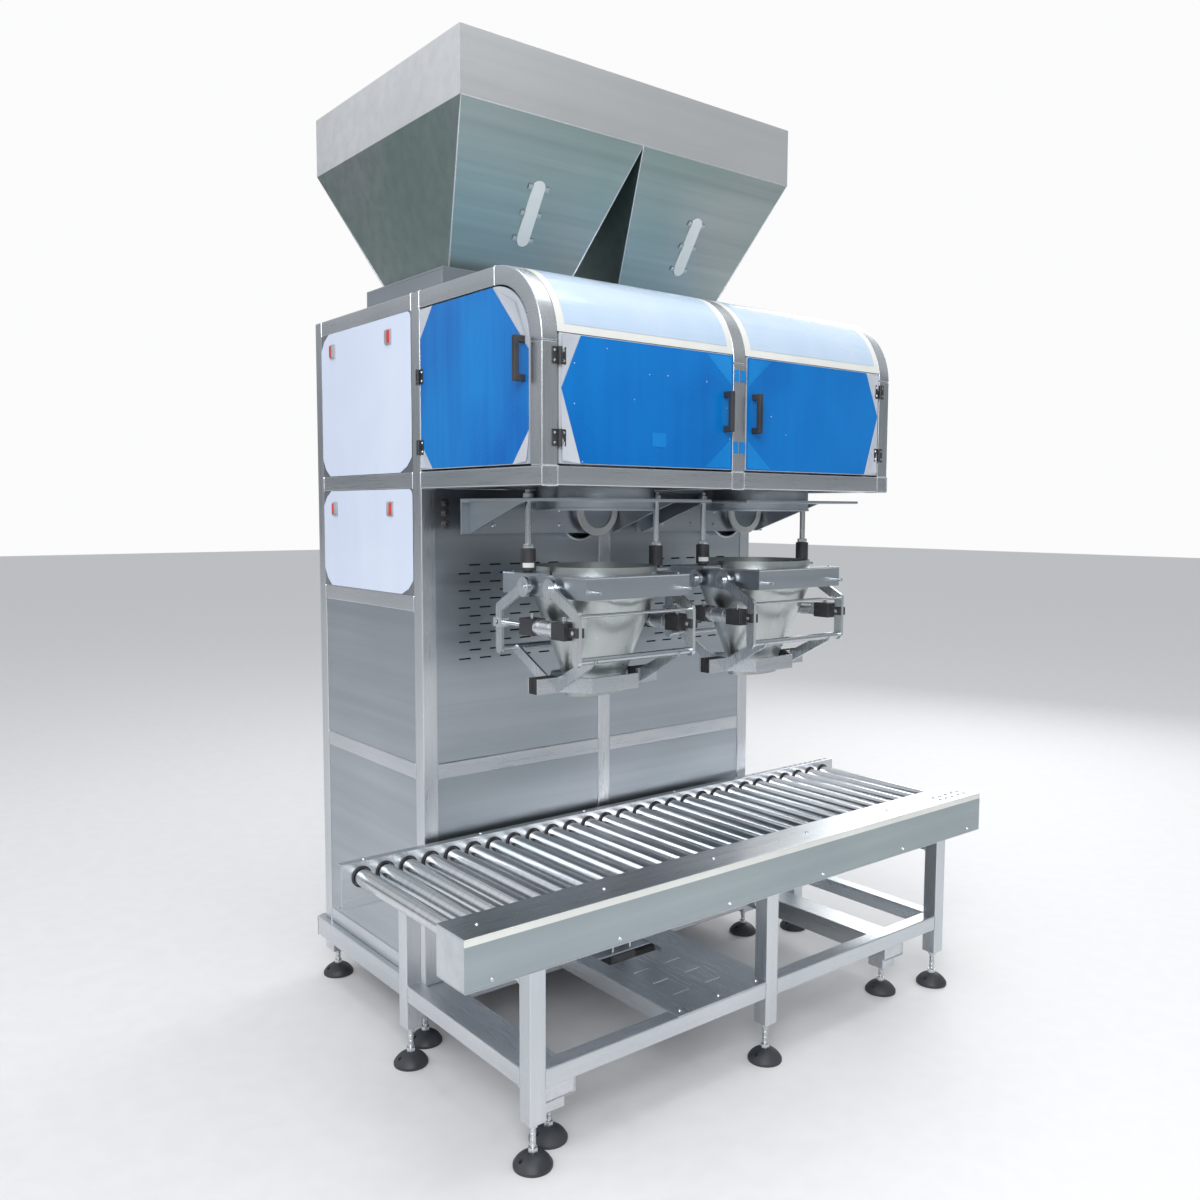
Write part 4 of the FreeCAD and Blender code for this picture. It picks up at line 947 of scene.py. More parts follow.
class Recipe:
    """A geometry node tree with named inputs that turns guide points or lines into solid geometry."""

    def __init__(self, name: str, inputs: dict[str, tuple[str, Any]],
                 lay: Callable[[Sketch, Node], NodeSocket]) -> None:
        """Build the tree.

        Args:
            name: the tree's name.
            inputs: socket label to its type and default.
            lay: draws the tree and gives the geometry to realize.
        """
        self.tree = bpy.data.node_groups.new(name, "GeometryNodeTree")
        face = self.tree.interface
        face.new_socket("Guides", in_out="INPUT", socket_type="NodeSocketGeometry")
        for label, (kind, default) in inputs.items():
            socket = face.new_socket(label, in_out="INPUT", socket_type=kind)
            socket.default_value = default
        face.new_socket("Finish", in_out="INPUT", socket_type="NodeSocketMaterial")
        face.new_socket("Geometry", in_out="OUTPUT", socket_type="NodeSocketGeometry")
        sketch = Sketch(self.tree)
        start = sketch.add("NodeGroupInput")
        shape = lay(sketch, start)
        real = sketch.add("GeometryNodeRealizeInstances", {"Geometry": shape})
        dressed = sketch.add("GeometryNodeSetMaterial", {"Geometry": real.outputs[0],
                                                         "Material": start.outputs["Finish"]})
        sketch.add("NodeGroupOutput", {"Geometry": dressed.outputs[0]})

    def run(self, guides: Mesh, finish: Finish, **values: Any) -> Mesh:
        """Make plain geometry from guides.

        Args:
            guides: the guide mesh; it is used up.
            finish: the finish to set.
            values: input label, with underscores for spaces, to its value.

        Returns:
            The finished mesh.
        """
        wanted = {key.replace("_", " "): value for key, value in values.items()}
        wanted["Finish"] = finish.material()
        carrier = bpy.data.objects.new(self.tree.name, guides)
        modifier = carrier.modifiers.new("Recipe", "NODES")
        modifier.node_group = self.tree
        for item in self.tree.interface.items_tree:
            if item.item_type == "SOCKET" and item.in_out == "INPUT" and item.name in wanted:
                modifier[item.identifier] = wanted[item.name]
        bpy.context.scene.collection.objects.link(carrier)
        graph = bpy.context.evaluated_depsgraph_get()
        mesh = bpy.data.meshes.new_from_object(carrier.evaluated_get(graph), depsgraph=graph)
        carrier.modifiers.remove(modifier)
        bpy.data.objects.remove(carrier)
        bpy.data.meshes.remove(guides)
        return mesh


def guide_points(places: Sequence[Vector], facings: Sequence[Vector], ups: Sequence[Vector] | None = None
                 ) -> Mesh:
    """Loose guide points, each with a facing direction and an upright one.

    Args:
        places: the points.
        facings: the way each one faces.
        ups: each one's upright direction; world up for all if not given.

    Returns:
        The guide mesh.
    """
    mesh = bpy.data.meshes.new("guide points")
    mesh.from_pydata([tuple(p) for p in places], [], [])
    for name, values in (("facing", facings), ("upright", ups or [UP] * len(places))):
        attribute = mesh.attributes.new(name, "FLOAT_VECTOR", "POINT")
        attribute.data.foreach_set("vector", [c for v in values for c in v])
    return mesh


def guide_lines(paths: Sequence[Sequence[Vector]], closed: bool = False) -> Mesh:
    """Guide lines, each through its own points.

    Args:
        paths: the points of each line.
        closed: whether each line joins up with its start.

    Returns:
        The guide mesh.
    """
    points: list[tuple[float, ...]] = []
    edges: list[tuple[int, int]] = []
    for path in paths:
        first = len(points)
        points.extend(tuple(p) for p in path)
        edges.extend((first + i, first + i + 1) for i in range(len(path) - 1))
        if closed:
            edges.append((first + len(path) - 1, first))
    mesh = bpy.data.meshes.new("guide lines")
    mesh.from_pydata(points, edges, [])
    return mesh


def turned_to_guides(s: Sketch, start: Node, shape: Any) -> NodeSocket:
    """A shape repeated on the guide points, with its Z along their facing and its Y upright.

    Args:
        s: the recipe's sketch.
        start: its inputs.
        shape: the socket of the shape to repeat.

    Returns:
        The instances.
    """
    facing = s.add("GeometryNodeInputNamedAttribute", {"Name": "facing"}, data_type="FLOAT_VECTOR")
    upright = s.add("GeometryNodeInputNamedAttribute", {"Name": "upright"}, data_type="FLOAT_VECTOR")
    aimed = s.add("FunctionNodeAlignRotationToVector", {"Vector": facing.outputs[0]}, axis="Z")
    turned_up = s.add("FunctionNodeAlignRotationToVector",
                      {"Rotation": aimed.outputs[0], "Vector": upright.outputs[0]}, axis="Y", pivot_axis="Z")
    inputs = {"Points": start.outputs["Guides"], "Instance": shape, "Rotation": turned_up.outputs[0]}
    return s.add("GeometryNodeInstanceOnPoints", inputs).outputs[0]


def filleted_rectangle(s: Sketch, width: Any, height: Any, radius: Any, steps: int) -> NodeSocket:
    """A rectangle curve with round corners.

    Args:
        s: the recipe's sketch.
        width: its width.
        height: its height.
        radius: the corners' radius.
        steps: points on each corner.

    Returns:
        The curve.
    """
    frame_curve = s.add("GeometryNodeCurvePrimitiveQuadrilateral", {"Width": width, "Height": height})
    return s.add("GeometryNodeFilletCurve", {"Curve": frame_curve.outputs[0], "Radius": radius, "Count": steps,
                                             "Limit Radius": True}, mode="POLY").outputs[0]


def filled_plate(s: Sketch, curve: Any, thickness: Any) -> NodeSocket:
    """A closed plate from flat curves.

    Args:
        s: the recipe's sketch.
        curve: the outlines; one inside another is a hole.
        thickness: the plate's thickness.

    Returns:
        The plate.
    """
    flat = s.add("GeometryNodeFillCurve", {"Curve": curve}, mode="NGONS").outputs[0]
    raised = s.add("GeometryNodeExtrudeMesh", {"Mesh": flat, "Offset Scale": thickness, "Individual": False},
                   mode="FACES").outputs[0]
    under = s.add("GeometryNodeFlipFaces", {"Mesh": flat}).outputs[0]
    both = s.add("GeometryNodeJoinGeometry", {"Geometry": raised})
    s.tree.links.new(under, both.inputs["Geometry"])
    return s.add("GeometryNodeMergeByDistance", {"Geometry": both.outputs[0], "Distance": 0.00001}).outputs[0]


def lay_screws(s: Sketch, start: Node) -> NodeSocket:
    """Button heads with a hexagon socket.

    Args:
        s: the recipe's sketch.
        start: its inputs.

    Returns:
        The geometry.
    """
    radius, height = start.outputs["Head Radius"], start.outputs["Head Height"]
    head = s.add("GeometryNodeMeshCone", {"Vertices": 18, "Radius Top": s.times(radius, 0.66),
                                          "Radius Bottom": radius, "Depth": height})
    recess = s.add("GeometryNodeMeshCylinder", {"Vertices": 6, "Radius": s.times(radius, 0.42),
                                                "Depth": height})
    lift = s.add("ShaderNodeCombineXYZ", {"Z": height})
    raised = s.add("GeometryNodeTransform", {"Geometry": recess.outputs[0], "Translation": lift.outputs[0]})
    shape = s.add("GeometryNodeMeshBoolean", {"Mesh 1": head.outputs[0], "Mesh 2": raised.outputs[0]},
                  operation="DIFFERENCE")
    return turned_to_guides(s, start, shape.outputs[0])


def lay_threads(s: Sketch, start: Node) -> NodeSocket:
    """A helical ridge round a stud.

    Args:
        s: the recipe's sketch.
        start: its inputs.

    Returns:
        The geometry.
    """
    pitch, length, radius = (start.outputs[k] for k in ("Pitch", "Length", "Radius"))
    spiral = s.add("GeometryNodeCurveSpiral", {"Resolution": 14, "Rotations": s.maths("DIVIDE", length, pitch),
                                               "Start Radius": radius, "End Radius": radius, "Height": length})
    profile = s.add("GeometryNodeCurvePrimitiveCircle", {"Resolution": 3, "Radius": s.times(pitch, 0.42)})
    ridge = s.add("GeometryNodeCurveToMesh", {"Curve": spiral.outputs[0], "Profile Curve": profile.outputs[0],
                                              "Fill Caps": True})
    return turned_to_guides(s, start, ridge.outputs[0])


def lay_rings(s: Sketch, start: Node) -> NodeSocket:
    """Flat-sided rings with rounded corners.

    Args:
        s: the recipe's sketch.
        start: its inputs.

    Returns:
        The geometry.
    """
    circle = s.add("GeometryNodeCurvePrimitiveCircle", {"Resolution": 32, "Radius": start.outputs["Radius"]})
    width, depth = start.outputs["Width"], start.outputs["Depth"]
    profile = filleted_rectangle(s, width, depth, s.times(s.maths("MINIMUM", width, depth), 0.3), 2)
    ring = s.add("GeometryNodeCurveToMesh", {"Curve": circle.outputs[0], "Profile Curve": profile})
    return turned_to_guides(s, start, ring.outputs[0])


def lay_plates(s: Sketch, start: Node) -> NodeSocket:
    """Small plates with round corners."""
    curve = filleted_rectangle(s, start.outputs["Width"], start.outputs["Height"], start.outputs["Corner"], 3)
    return turned_to_guides(s, start, filled_plate(s, curve, start.outputs["Thickness"]))


def lay_beads(s: Sketch, start: Node) -> NodeSocket:
    """Rippled weld beads along the guide lines.

    Args:
        s: the recipe's sketch.
        start: its inputs.

    Returns:
        The geometry.
    """
    lines = s.add("GeometryNodeMeshToCurve", {"Mesh": start.outputs["Guides"]})
    even = s.add("GeometryNodeResampleCurve", {"Curve": lines.outputs[0], "Length": start.outputs["Step"]},
                 mode="LENGTH")
    lump = s.add("ShaderNodeTexNoise", {"Scale": 130.0, "Detail": 1.0, "W": start.outputs["Seed"]},
                 noise_dimensions="4D")
    swell = s.times(s.maths("SUBTRACT", lump.outputs[0], 0.5), start.outputs["Ripple"])
    sized = s.add("GeometryNodeSetCurveRadius", {"Curve": even.outputs[0], "Radius": s.maths("ADD", swell, 1.0)})
    profile = s.add("GeometryNodeCurvePrimitiveCircle", {"Resolution": 6, "Radius": start.outputs["Radius"]})
    return s.add("GeometryNodeCurveToMesh", {"Curve": sized.outputs[0], "Profile Curve": profile.outputs[0],
                                             "Fill Caps": True}).outputs[0]


def lay_slotted_panel(s: Sketch, start: Node) -> NodeSocket:
    """A sheet with staggered rows of slots, standing in the XZ plane on the guide point.

    Args:
        s: the recipe's sketch.
        start: its inputs.

    Returns:
        The geometry.
    """
    pitch, rise = start.outputs["Pitch"], start.outputs["Rise"]
    columns, rows = start.outputs["Columns"], start.outputs["Rows"]
    slot = filleted_rectangle(s, start.outputs["Slot Length"], start.outputs["Slot Height"],
                              s.times(start.outputs["Slot Height"], 0.49), 4)
    outline = s.add("GeometryNodeCurvePrimitiveQuadrilateral", {"Width": start.outputs["Width"],
                                                                "Height": start.outputs["Height"]})
    curves = s.add("GeometryNodeJoinGeometry", {"Geometry": outline.outputs[0]})
    for stagger in (0.25, -0.25):
        wide = s.times(pitch, s.maths("SUBTRACT", columns, 1.0))
        tall = s.times(s.times(rise, 2.0), s.maths("SUBTRACT", rows, 1.0))
        grid = s.add("GeometryNodeMeshGrid", {"Size X": wide, "Size Y": tall, "Vertices X": columns,
                                              "Vertices Y": rows})
        shift = s.add("ShaderNodeCombineXYZ", {
            "X": s.maths("ADD", s.times(pitch, stagger), start.outputs["Across"]),
            "Y": s.maths("ADD", s.times(rise, stagger * 2), start.outputs["Above"])})
        moved = s.add("GeometryNodeTransform", {"Geometry": grid.outputs[0], "Translation": shift.outputs[0]})
        holes = s.add("GeometryNodeInstanceOnPoints", {"Points": moved.outputs[0], "Instance": slot})
        real = s.add("GeometryNodeRealizeInstances", {"Geometry": holes.outputs[0]})
        s.tree.links.new(real.outputs[0], curves.inputs["Geometry"])
    plate = filled_plate(s, curves.outputs[0], start.outputs["Thickness"])
    return turned_to_guides(s, start, plate)


SCREWS = Recipe("Screw heads", {"Head Radius": (FLOAT, 0.005), "Head Height": (FLOAT, 0.003)}, lay_screws)
THREADS = Recipe("Threads", {"Radius": (FLOAT, 0.008), "Pitch": (FLOAT, 0.002), "Length": (FLOAT, 0.03)},
                 lay_threads)
RINGS = Recipe("Rings", {"Radius": (FLOAT, 0.02), "Width": (FLOAT, 0.004), "Depth": (FLOAT, 0.004)}, lay_rings)
PLATES = Recipe("Plates", {"Width": (FLOAT, 0.01), "Height": (FLOAT, 0.02), "Thickness": (FLOAT, 0.002),
                           "Corner": (FLOAT, 0.002)}, lay_plates)
BEADS = Recipe("Weld beads", {"Radius": (FLOAT, 0.0015), "Ripple": (FLOAT, 0.7), "Step": (FLOAT, 0.006),
                              "Seed": (FLOAT, 3.0)}, lay_beads)
SLOTTED = Recipe("Slotted panel", {
    "Width": (FLOAT, 0.6), "Height": (FLOAT, 0.8), "Thickness": (FLOAT, 0.002), "Slot Length": (FLOAT, 0.043),
    "Slot Height": (FLOAT, 0.005), "Pitch": (FLOAT, 0.075), "Rise": (FLOAT, 0.0264), "Columns": ("NodeSocketInt", 5),
    "Rows": ("NodeSocketInt", 6), "Across": (FLOAT, 0.0), "Above": (FLOAT, 0.0)}, lay_slotted_panel)


def screws(draft: Draft, places: Sequence[Vector], facings: Sequence[Vector] | Vector, radius: float,
           finish: Finish = ZINC) -> None:
    """Add screw heads of one size to a piece.

    Args:
        draft: the piece.
        places: where their undersides sit.
        facings: the way each one faces, or one way for all.
        radius: the head's radius.
        finish: their finish.
    """
    ways = [facings] * len(places) if isinstance(facings, Vector) else facings
    mesh = SCREWS.run(guide_points(places, ways), finish, Head_Radius=radius, Head_Height=radius * 0.55)
    draft.made(mesh, finish)


def beads(draft: Draft, paths: Sequence[Sequence[Vector]], radius: float, closed: bool = False) -> None:
    """Add weld beads along paths to a piece."""
    draft.made(BEADS.run(guide_lines(paths, closed), WELD, Radius=radius), WELD)


# ---- sub-assemblies ----

@dataclass
class Tubework:
    """The welded tube frames of the column, base, enclosure and stand."""

    corner: float = 0.0035
    bead: float = 0.0018
    least_side: float = 0.02
    least_length: float = 0.2
    deck_screw: float = 0.006
    near_inset: float = 0.025
    far_inset: float = 0.020

    def build(self) -> None:
        """Round, brush and weld the four frames."""
        for node, slot in (("base_frame", "base_paint"), ("column_frame", "frame_steel"),
                           ("enclosure_frame", "frame_steel"), ("conveyor_stand", "frame_steel")):
            draft = Draft()
            shells = shells_of(node)
            draft.solids(shells, lambda shell: frame_steel(shell.long_axis), self.corner, 3)
            loops = [loop for shell in shells for loop in self.end_loops(shell)]
            beads(draft, loops, self.bead, True)
            if node == "conveyor_stand":
                self.deck_details(draft, shells)
            draft.publish(f"{node}_welded", STATIC, slot, node)

    def end_loops(self, shell: Shell) -> list[list[Vector]]:
        """The outlines of a lying tube's two ends, where it is welded to its neighbours.

        Args:
            shell: the tube.

        Returns:
            Two loops, or none for an upright tube, a small piece or one that isn't a plain box.
        """
        axis, ends = shell.long_axis, (shell.low, shell.high)
        plain = len(shell.points) <= 8 and min(shell.size) >= self.least_side
        if axis is Axis.Z or not plain or shell.size[axis.value] < self.least_length:
            return []
        loops = []
        one, two = (i for i in range(3) if i != axis.value)
        for end in ends:
            loop = []
            for a, b in ((0, 0), (1, 0), (1, 1), (0, 1)):
                point = Vector(end)
                point[one], point[two] = ends[a][one], ends[b][two]
                loop.append(point)
            loops.append(loop)
        return loops

    def deck_details(self, draft: Draft, shells: list[Shell]) -> None:
        """Screws along the deck plate's edges.

        Args:
            draft: the stand's piece.
            shells: the stand's solids.
        """
        deck = next(s for s in shells if s.size.z < 0.01)
        xs = (deck.low.x + self.near_inset, deck.centre.x, deck.high.x - self.far_inset)
        ys = (deck.low.y + self.near_inset, deck.high.y - self.far_inset)
        screws(draft, [Vector((x, y, deck.high.z)) for x in xs for y in ys], UP, self.deck_screw)


@dataclass
class Feet:
    """Twelve levelling feet: domed pads, threaded studs and lock nuts."""

    pitch: float = 0.002
    thread: float = 0.0078
    foot_gap: float = 0.0005
    ends_gap: float = 0.002
    edge: float = 0.0014

    def build(self) -> None:
        """Pads in black plastic, studs and nuts in zinc, with real threads."""
        draft = Draft()
        shells = shells_of("leveling_feet")
        draft.solids(shells, lambda s: PAD_PLASTIC if s.size.x > 0.09 else ZINC, self.edge, 3)
        lengths: dict[float, list[Vector]] = {}
        for shell in shells:
            if shell.measures(16, 16, None):
                base = Vector((shell.centre.x, shell.centre.y, shell.low.z + self.foot_gap))
                lengths.setdefault(round(shell.size.z - self.ends_gap, 4), []).append(base)
        for length, places in lengths.items():
            mesh = THREADS.run(guide_points(places, [UP] * len(places)), ZINC, Radius=self.thread,
                               Pitch=self.pitch, Length=length)
            draft.made(mesh, ZINC)
        draft.publish("levelling_feet", STATIC, "foot_black", "leveling_feet")


@dataclass
class ColumnSkin:
    """The column's sheets, its slotted front panels and the filmed side panels with latches."""

    edge: float = 0.0006
    slot_low: float = 1200.0
    slot_high: float = 1517.0
    slot_inner: float = 188.0
    slot_outer: float = 575.0
    shade_sheet_side: float = 40.0
    shade_sheet_end: float = 12.0
    shade_sheet_gap: float = 0.006
    shade_sheet_depth: float = 0.003
    gland_x: float = -616.0
    gland_levels: tuple[float, ...] = (1630.0, 1662.0, 1693.0)
    gland: tuple[tuple[float, float], ...] = (
        (0, 0), (0.0125, 0), (0.0125, 0.003), (0.011, 0.004), (0.0095, 0.010), (0.007, 0.012), (0.005, 0.012),
        (0.0045, 0.006), (0, 0.006))
    tears: tuple[tuple[float, float, float], ...] = (
        (0.075, 0.045, 0.4), (-0.055, 0.06, 0.4), (-0.06, -0.05, 0.4), (0.018, -0.02, 0.3))

    def build(self) -> None:
        """Dress all the skins."""
        self.plain_panels()
        for side, hand in SIDES:
            self.slotted_panel(side, hand)
        self.cable_glands()
        self.side_panels()

    def plain_panels(self) -> None:
        """The column's brushed sheets."""
        draft = Draft()
        draft.solids(shells_of("column_panels"), lambda s: sheet_steel(s.long_axis), self.edge)
        draft.publish("column_sheets", STATIC, "panel_steel", "column_panels")

    def slotted_panel(self, side: int, hand: str) -> None:
        """One front sheet with its rows of slots, and a dark sheet behind them as painted shade, standing for the
        dark inside of the column.

        Args:
            side: -1 for the left one, 1 for the right one.
            hand: the side's name.
        """
        shell = next(s for s in shells_of("louver_panels") if s.side == side)
        draft = Draft()
        place = Vector((shell.centre.x, shell.high.y, shell.centre.z))
        middle = spot(side * (self.slot_inner + self.slot_outer) / 2, 0, (self.slot_low + self.slot_high) / 2)
        mesh = SLOTTED.run(guide_points([place], [FORWARD]), sheet_steel(Axis.X), Width=shell.size.x,
                           Height=shell.size.z, Thickness=shell.size.y, Across=middle.x - place.x,
                           Above=middle.z - place.z)
        draft.made(mesh, sheet_steel(Axis.X))
        # A black sheet just behind the slots is painted shade: it makes the slots read dark.
        edges = sorted((side * self.slot_inner, side * self.slot_outer))
        low = spot(edges[0] - self.shade_sheet_side, 0, self.slot_low - self.shade_sheet_end)
        high = spot(edges[1] + self.shade_sheet_side, 0, self.slot_high + self.shade_sheet_end)
        low.y, high.y = (shell.high.y + self.shade_sheet_gap + depth for depth in (0, self.shade_sheet_depth))
        draft.block(low, high, RUBBER, 0.0005)
        names = ("louver_panels",) if side < 0 else ()
        draft.publish(f"slotted_panel_{hand}", STATIC, "panel_steel", *names)

    def cable_glands(self) -> None:
        """Black cable glands beside the left head."""
        draft = Draft()
        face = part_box("louver_panels")[0].y
        for level in self.gland_levels:
            base = spot(self.gland_x, 0, level)
            base.y = face
            draft.lathe(self.gland, base, FORWARD, BLACK_PLASTIC)
        draft.publish("cable_glands", STATIC, "hardware_black")

    def side_panels(self) -> None:
        """Steel panels under white film with torn corners."""
        draft = Draft()
        shells = shells_of("latched_side_panels")
        dark = Steel("Dark sheet", light=(0.42, 0.44, 0.47), dark=(0.28, 0.30, 0.33), tint=(0.3, 0.33, 0.36),
                     stretch=ALONG[Axis.Z], roughness=0.36)
        draft.solids(shells, lambda shell: dark, self.edge)
        draft.publish("side_panel_sheets", STATIC, "panel_steel", "latched_side_panels")
        films = Draft()
        for shell in shells:
            y0, y1, z0, z1 = shell.low.y, shell.high.y, shell.low.z, shell.high.z
            outline = [Vector((shell.outer_x, y, z)) for y, z in ((y0, z0), (y1, z0), (y1, z1), (y0, z1))]
            normal = Vector((shell.side, 0, 0))
            cuts = []
            for corner, (dy, dz, bend) in zip(outline, self.tears):
                mid = corner + Vector((0, dy * bend, dz * bend))
                cuts.append(corner_cut(corner, corner + Vector((0, dy, 0)), mid, normal))
                cuts.append(corner_cut(corner, mid, corner + Vector((0, 0, dz)), normal))
            films.take(FilmSheet(wave=0.0012).lay(outline, normal, cuts), WHITE_FILM)
        films.publish("side_panel_film", STATIC, "film_white")


@dataclass
class Enclosure:
    """The bent top covers under pale film, the doors, and their hardware."""

    rim: float = 0.024
    lip: float = 0.022
    peel: float = 0.066
    strips: int = 14
    rows: int = 8
    row: float = 0.05
    cover_edge: float = 0.0006
    hardware_edge: float = 0.0012
    door_edge: float = 0.0022
    panel_middle: float = 380.0
    hinge_screw: float = 0.0036
    rocker_shift: float = 0.008
    fold_along: float = 0.105
    fold_up: float = 0.085

    def build(self) -> None:
        """Covers, doors and hardware."""
        self.covers()
        self.hardware()
        for side, hand in SIDES:
            self.front_door(side, hand)
            self.side_door(side, hand)

    def covers(self) -> None:
        """The covers' sheets with bare ivory rims, and the film over them."""
        sheets, films = Draft(), Draft()
        for shell in shells_of("top_covers"):
            sheets.solids([shell], lambda s: PALE_EDGE_AND_HIGHLIGHT, self.cover_edge)
            part = shell.mesh()
            part.normal_update()
            inner = [f for f in part.faces if f.normal.z - f.normal.y < 0.25 or abs(f.normal.x) > 0.5
                     or f.normal.z < -0.3]
            bmesh.ops.delete(part, geom=inner, context="FACES")
            low, high = shell.low.x + self.rim, shell.high.x - self.rim
            cut(part, Vector((low, 0, 0)), Vector((-1, 0, 0)), True)
            cut(part, Vector((high, 0, 0)), Vector((1, 0, 0)), True)
            cut(part, Vector((0, 0, shell.low.z + self.lip)), -UP, True)
            for i in range(1, self.strips):
                cut(part, Vector((low + (high - low) * i / self.strips, 0, 0)), Vector((1, 0, 0)), False)
            for i in range(1, self.rows + 1):
                cut(part, Vector((0, shell.high.y - self.row * i, 0)), BACKWARD, False)
            part.normal_update()
            normals = {v: v.normal.copy() for v in part.verts}
            films.take(FilmSheet(wave=0.0008).thicken(part, lambda v: normals[v]), PALE_FILM)
        sheets.publish("cover_sheets", STATIC, "film_pale", "top_covers")
        films.publish("cover_film", STATIC, "film_pale")

    def hardware(self) -> None:
        """Fixed hinge leaves, catches and the side panels' latches."""
        draft = Draft()
        shells = shells_of("door_hardware")
        catches = [s for s in shells if s.measures(18, None, None)]
        latches = [s for s in shells if s.measures(6, 35, None) or s.measures(6, 36, None, 2.5)]
        draft.solids(shells, lambda s: BLUE_LIGHT if s in catches else GREY_ROCKER if s in latches
                     else BLACK_PLASTIC, self.hardware_edge, 3)
        places, facings = [], []
        for shell in shells:
            if shell in catches or shell in latches:
                continue
            spots, out = hinge_screw_spots(shell, False)
            places += spots
            facings += [out] * len(spots)
        screws(draft, places, facings, self.hinge_screw)
        for finish, shift in ((RED_ROCKER, -self.rocker_shift), (GREY_ROCKER, self.rocker_shift)):
            spots, ways = [], []
            for shell in latches:
                flip = -1 if shell.centre.y > spot(0, self.panel_middle, 0).y else 1
                spots.append(Vector((shell.outer_x, shell.centre.y + shift * flip, shell.centre.z)))
                ways.append(Vector((shell.side, 0, 0)))
            mesh = PLATES.run(guide_points(spots, ways), finish, Width=0.013, Height=0.037, Thickness=0.003,
                              Corner=0.003)
            draft.made(mesh, finish)
        draft.publish("door_and_panel_hardware", STATIC, "hardware_black", "door_hardware")

    def dress_door(self, node: str) -> Draft:
        """A door's panel, handle and swinging hinge leaves.

        Args:
            node: its CAD node.

        Returns:
            The piece, ready to publish.
        """
        draft = Draft()
        shells = shells_of(node)
        slab = max(shells, key=lambda s: s.size.z)
        draft.solids(shells, lambda s: CLEAR_SHEET if s is slab else BLACK_PLASTIC, self.door_edge, 3)
        places, facings = [], []
        for shell in shells:
            if shell is slab or shell.size.z > 0.1:
                continue
            spots, out = hinge_screw_spots(shell, True)
            places += spots
            facings += [out] * len(spots)
        screws(draft, places, facings, self.hinge_screw)
        return draft

    def front_door(self, side: int, hand: str) -> None:
        """One front door: blue film with peeled hinge-side corners and folded inner corners.

        Args:
            side: -1 for the left one, 1 for the right one.
            hand: the side's name.
        """
        node = f"front_door_{hand}"
        self.dress_door(node).publish(f"{node}_panel", node, "film_blue", node)
        slab = max(shells_of(node), key=lambda s: s.size.z)
        y = slab.low.y
        inner, outer = (slab.high.x, slab.low.x) if side < 0 else (slab.low.x, slab.high.x)
        low, high = slab.low.z + 0.002, slab.high.z - 0.002
        outline = [Vector((x, y, z)) for x, z in ((outer, low), (inner, low), (inner, high), (outer, high))]
        middle = Vector((outer - side * 0.004, y, low + (high - low) * 0.58))
        cuts = []
        for z in (low, high):
            corner = Vector((outer, y, z))
            cuts.append(corner_cut(corner, corner - Vector((side * self.peel, 0, 0)), middle, FORWARD))
        film = Draft()
        film.take(FilmSheet().lay(outline, FORWARD, cuts), BLUE_FILM)
        for z, way in ((low, 1), (high, -1)):
            corner = Vector((inner, y, z))
            one = corner + Vector((side * self.fold_along, 0, way * 0.003))
            two = corner + Vector((side * 0.004, 0, way * self.fold_up))
            tip = corner + Vector((side * 0.006, 0, way * 0.005))
            film.take(FilmSheet().flap(one, two, tip, FORWARD, 0.0), BLUE_LIGHT)
            torn = Vector((outer, y, z))
            one = torn - Vector((side * self.peel, 0, 0))
            tip = torn - Vector((side * 0.006, 0, -way * 0.006))
            film.take(FilmSheet().flap(one, middle, tip, FORWARD, 0.004), PEELED_FILM)
        if side < 0:
            patch = Vector((outer + 0.335, y - 0.0016, low + 0.072))
            mesh = PLATES.run(guide_points([patch], [FORWARD]), BLUE_LIGHT, Width=0.05, Height=0.038,
                              Thickness=0.0003, Corner=0.002)
            film.made(mesh, BLUE_LIGHT)
        film.publish(f"{node}_film", node, "film_blue")

    def side_door(self, side: int, hand: str) -> None:
        """One side door: streaked blue film over a sheet with a rounded front-top corner.

        Args:
            side: -1 for the left one, 1 for the right one.
            hand: the side's name.
        """
        node = f"side_door_{hand}"
        self.dress_door(node).publish(f"{node}_panel", node, "film_blue", node)
        slab = max(shells_of(node), key=lambda s: s.size.z)
        x = slab.outer_x
        rim = [p for p in slab.points if abs(p.x - x) < 1e-5]
        middle = sum(rim, Vector()) / len(rim)
        rim.sort(key=lambda p: math.atan2(p.z - slab.centre.z, p.y - slab.centre.y))
        outline = [p + (middle - p) * 0.006 for p in rim]
        normal = Vector((side, 0, 0))
        cuts, folds = [], []
        y0, y1, z0, z1 = slab.low.y, slab.high.y, slab.low.z, slab.high.z
        for y, z, dy, dz in ((y0, z0, 0.075, 0.085), (y1, z0, -0.07, 0.08), (y1, z1, -0.075, -0.09)):
            corner = Vector((x, y, z))
            one, two = corner + Vector((0, dy, 0)), corner + Vector((0, 0, dz))
            cuts.append(corner_cut(corner, one, two, normal))
            folds.append((one, two, corner + Vector((0, dy, dz)) * 0.08))
        crest = Vector((x, y0 + 0.055, z1 - 0.055))
        one, two = Vector((x, y0 + 0.002, z1 - 0.175)), Vector((x, y0 + 0.165, z1 - 0.002))
        cuts.append(corner_cut(Vector((x, y0, z1)), one, two, normal))
        folds.append((one, two, crest))
        film = Draft()
        film.take(FilmSheet(wave=0.0014).lay(outline, normal, cuts), BLUE_STREAK)
        for one, two, tip in folds:
            film.take(FilmSheet().flap(one, two, tip, normal, 0.005), PEELED_FILM)
        film.publish(f"{node}_film", node, "film_blue")


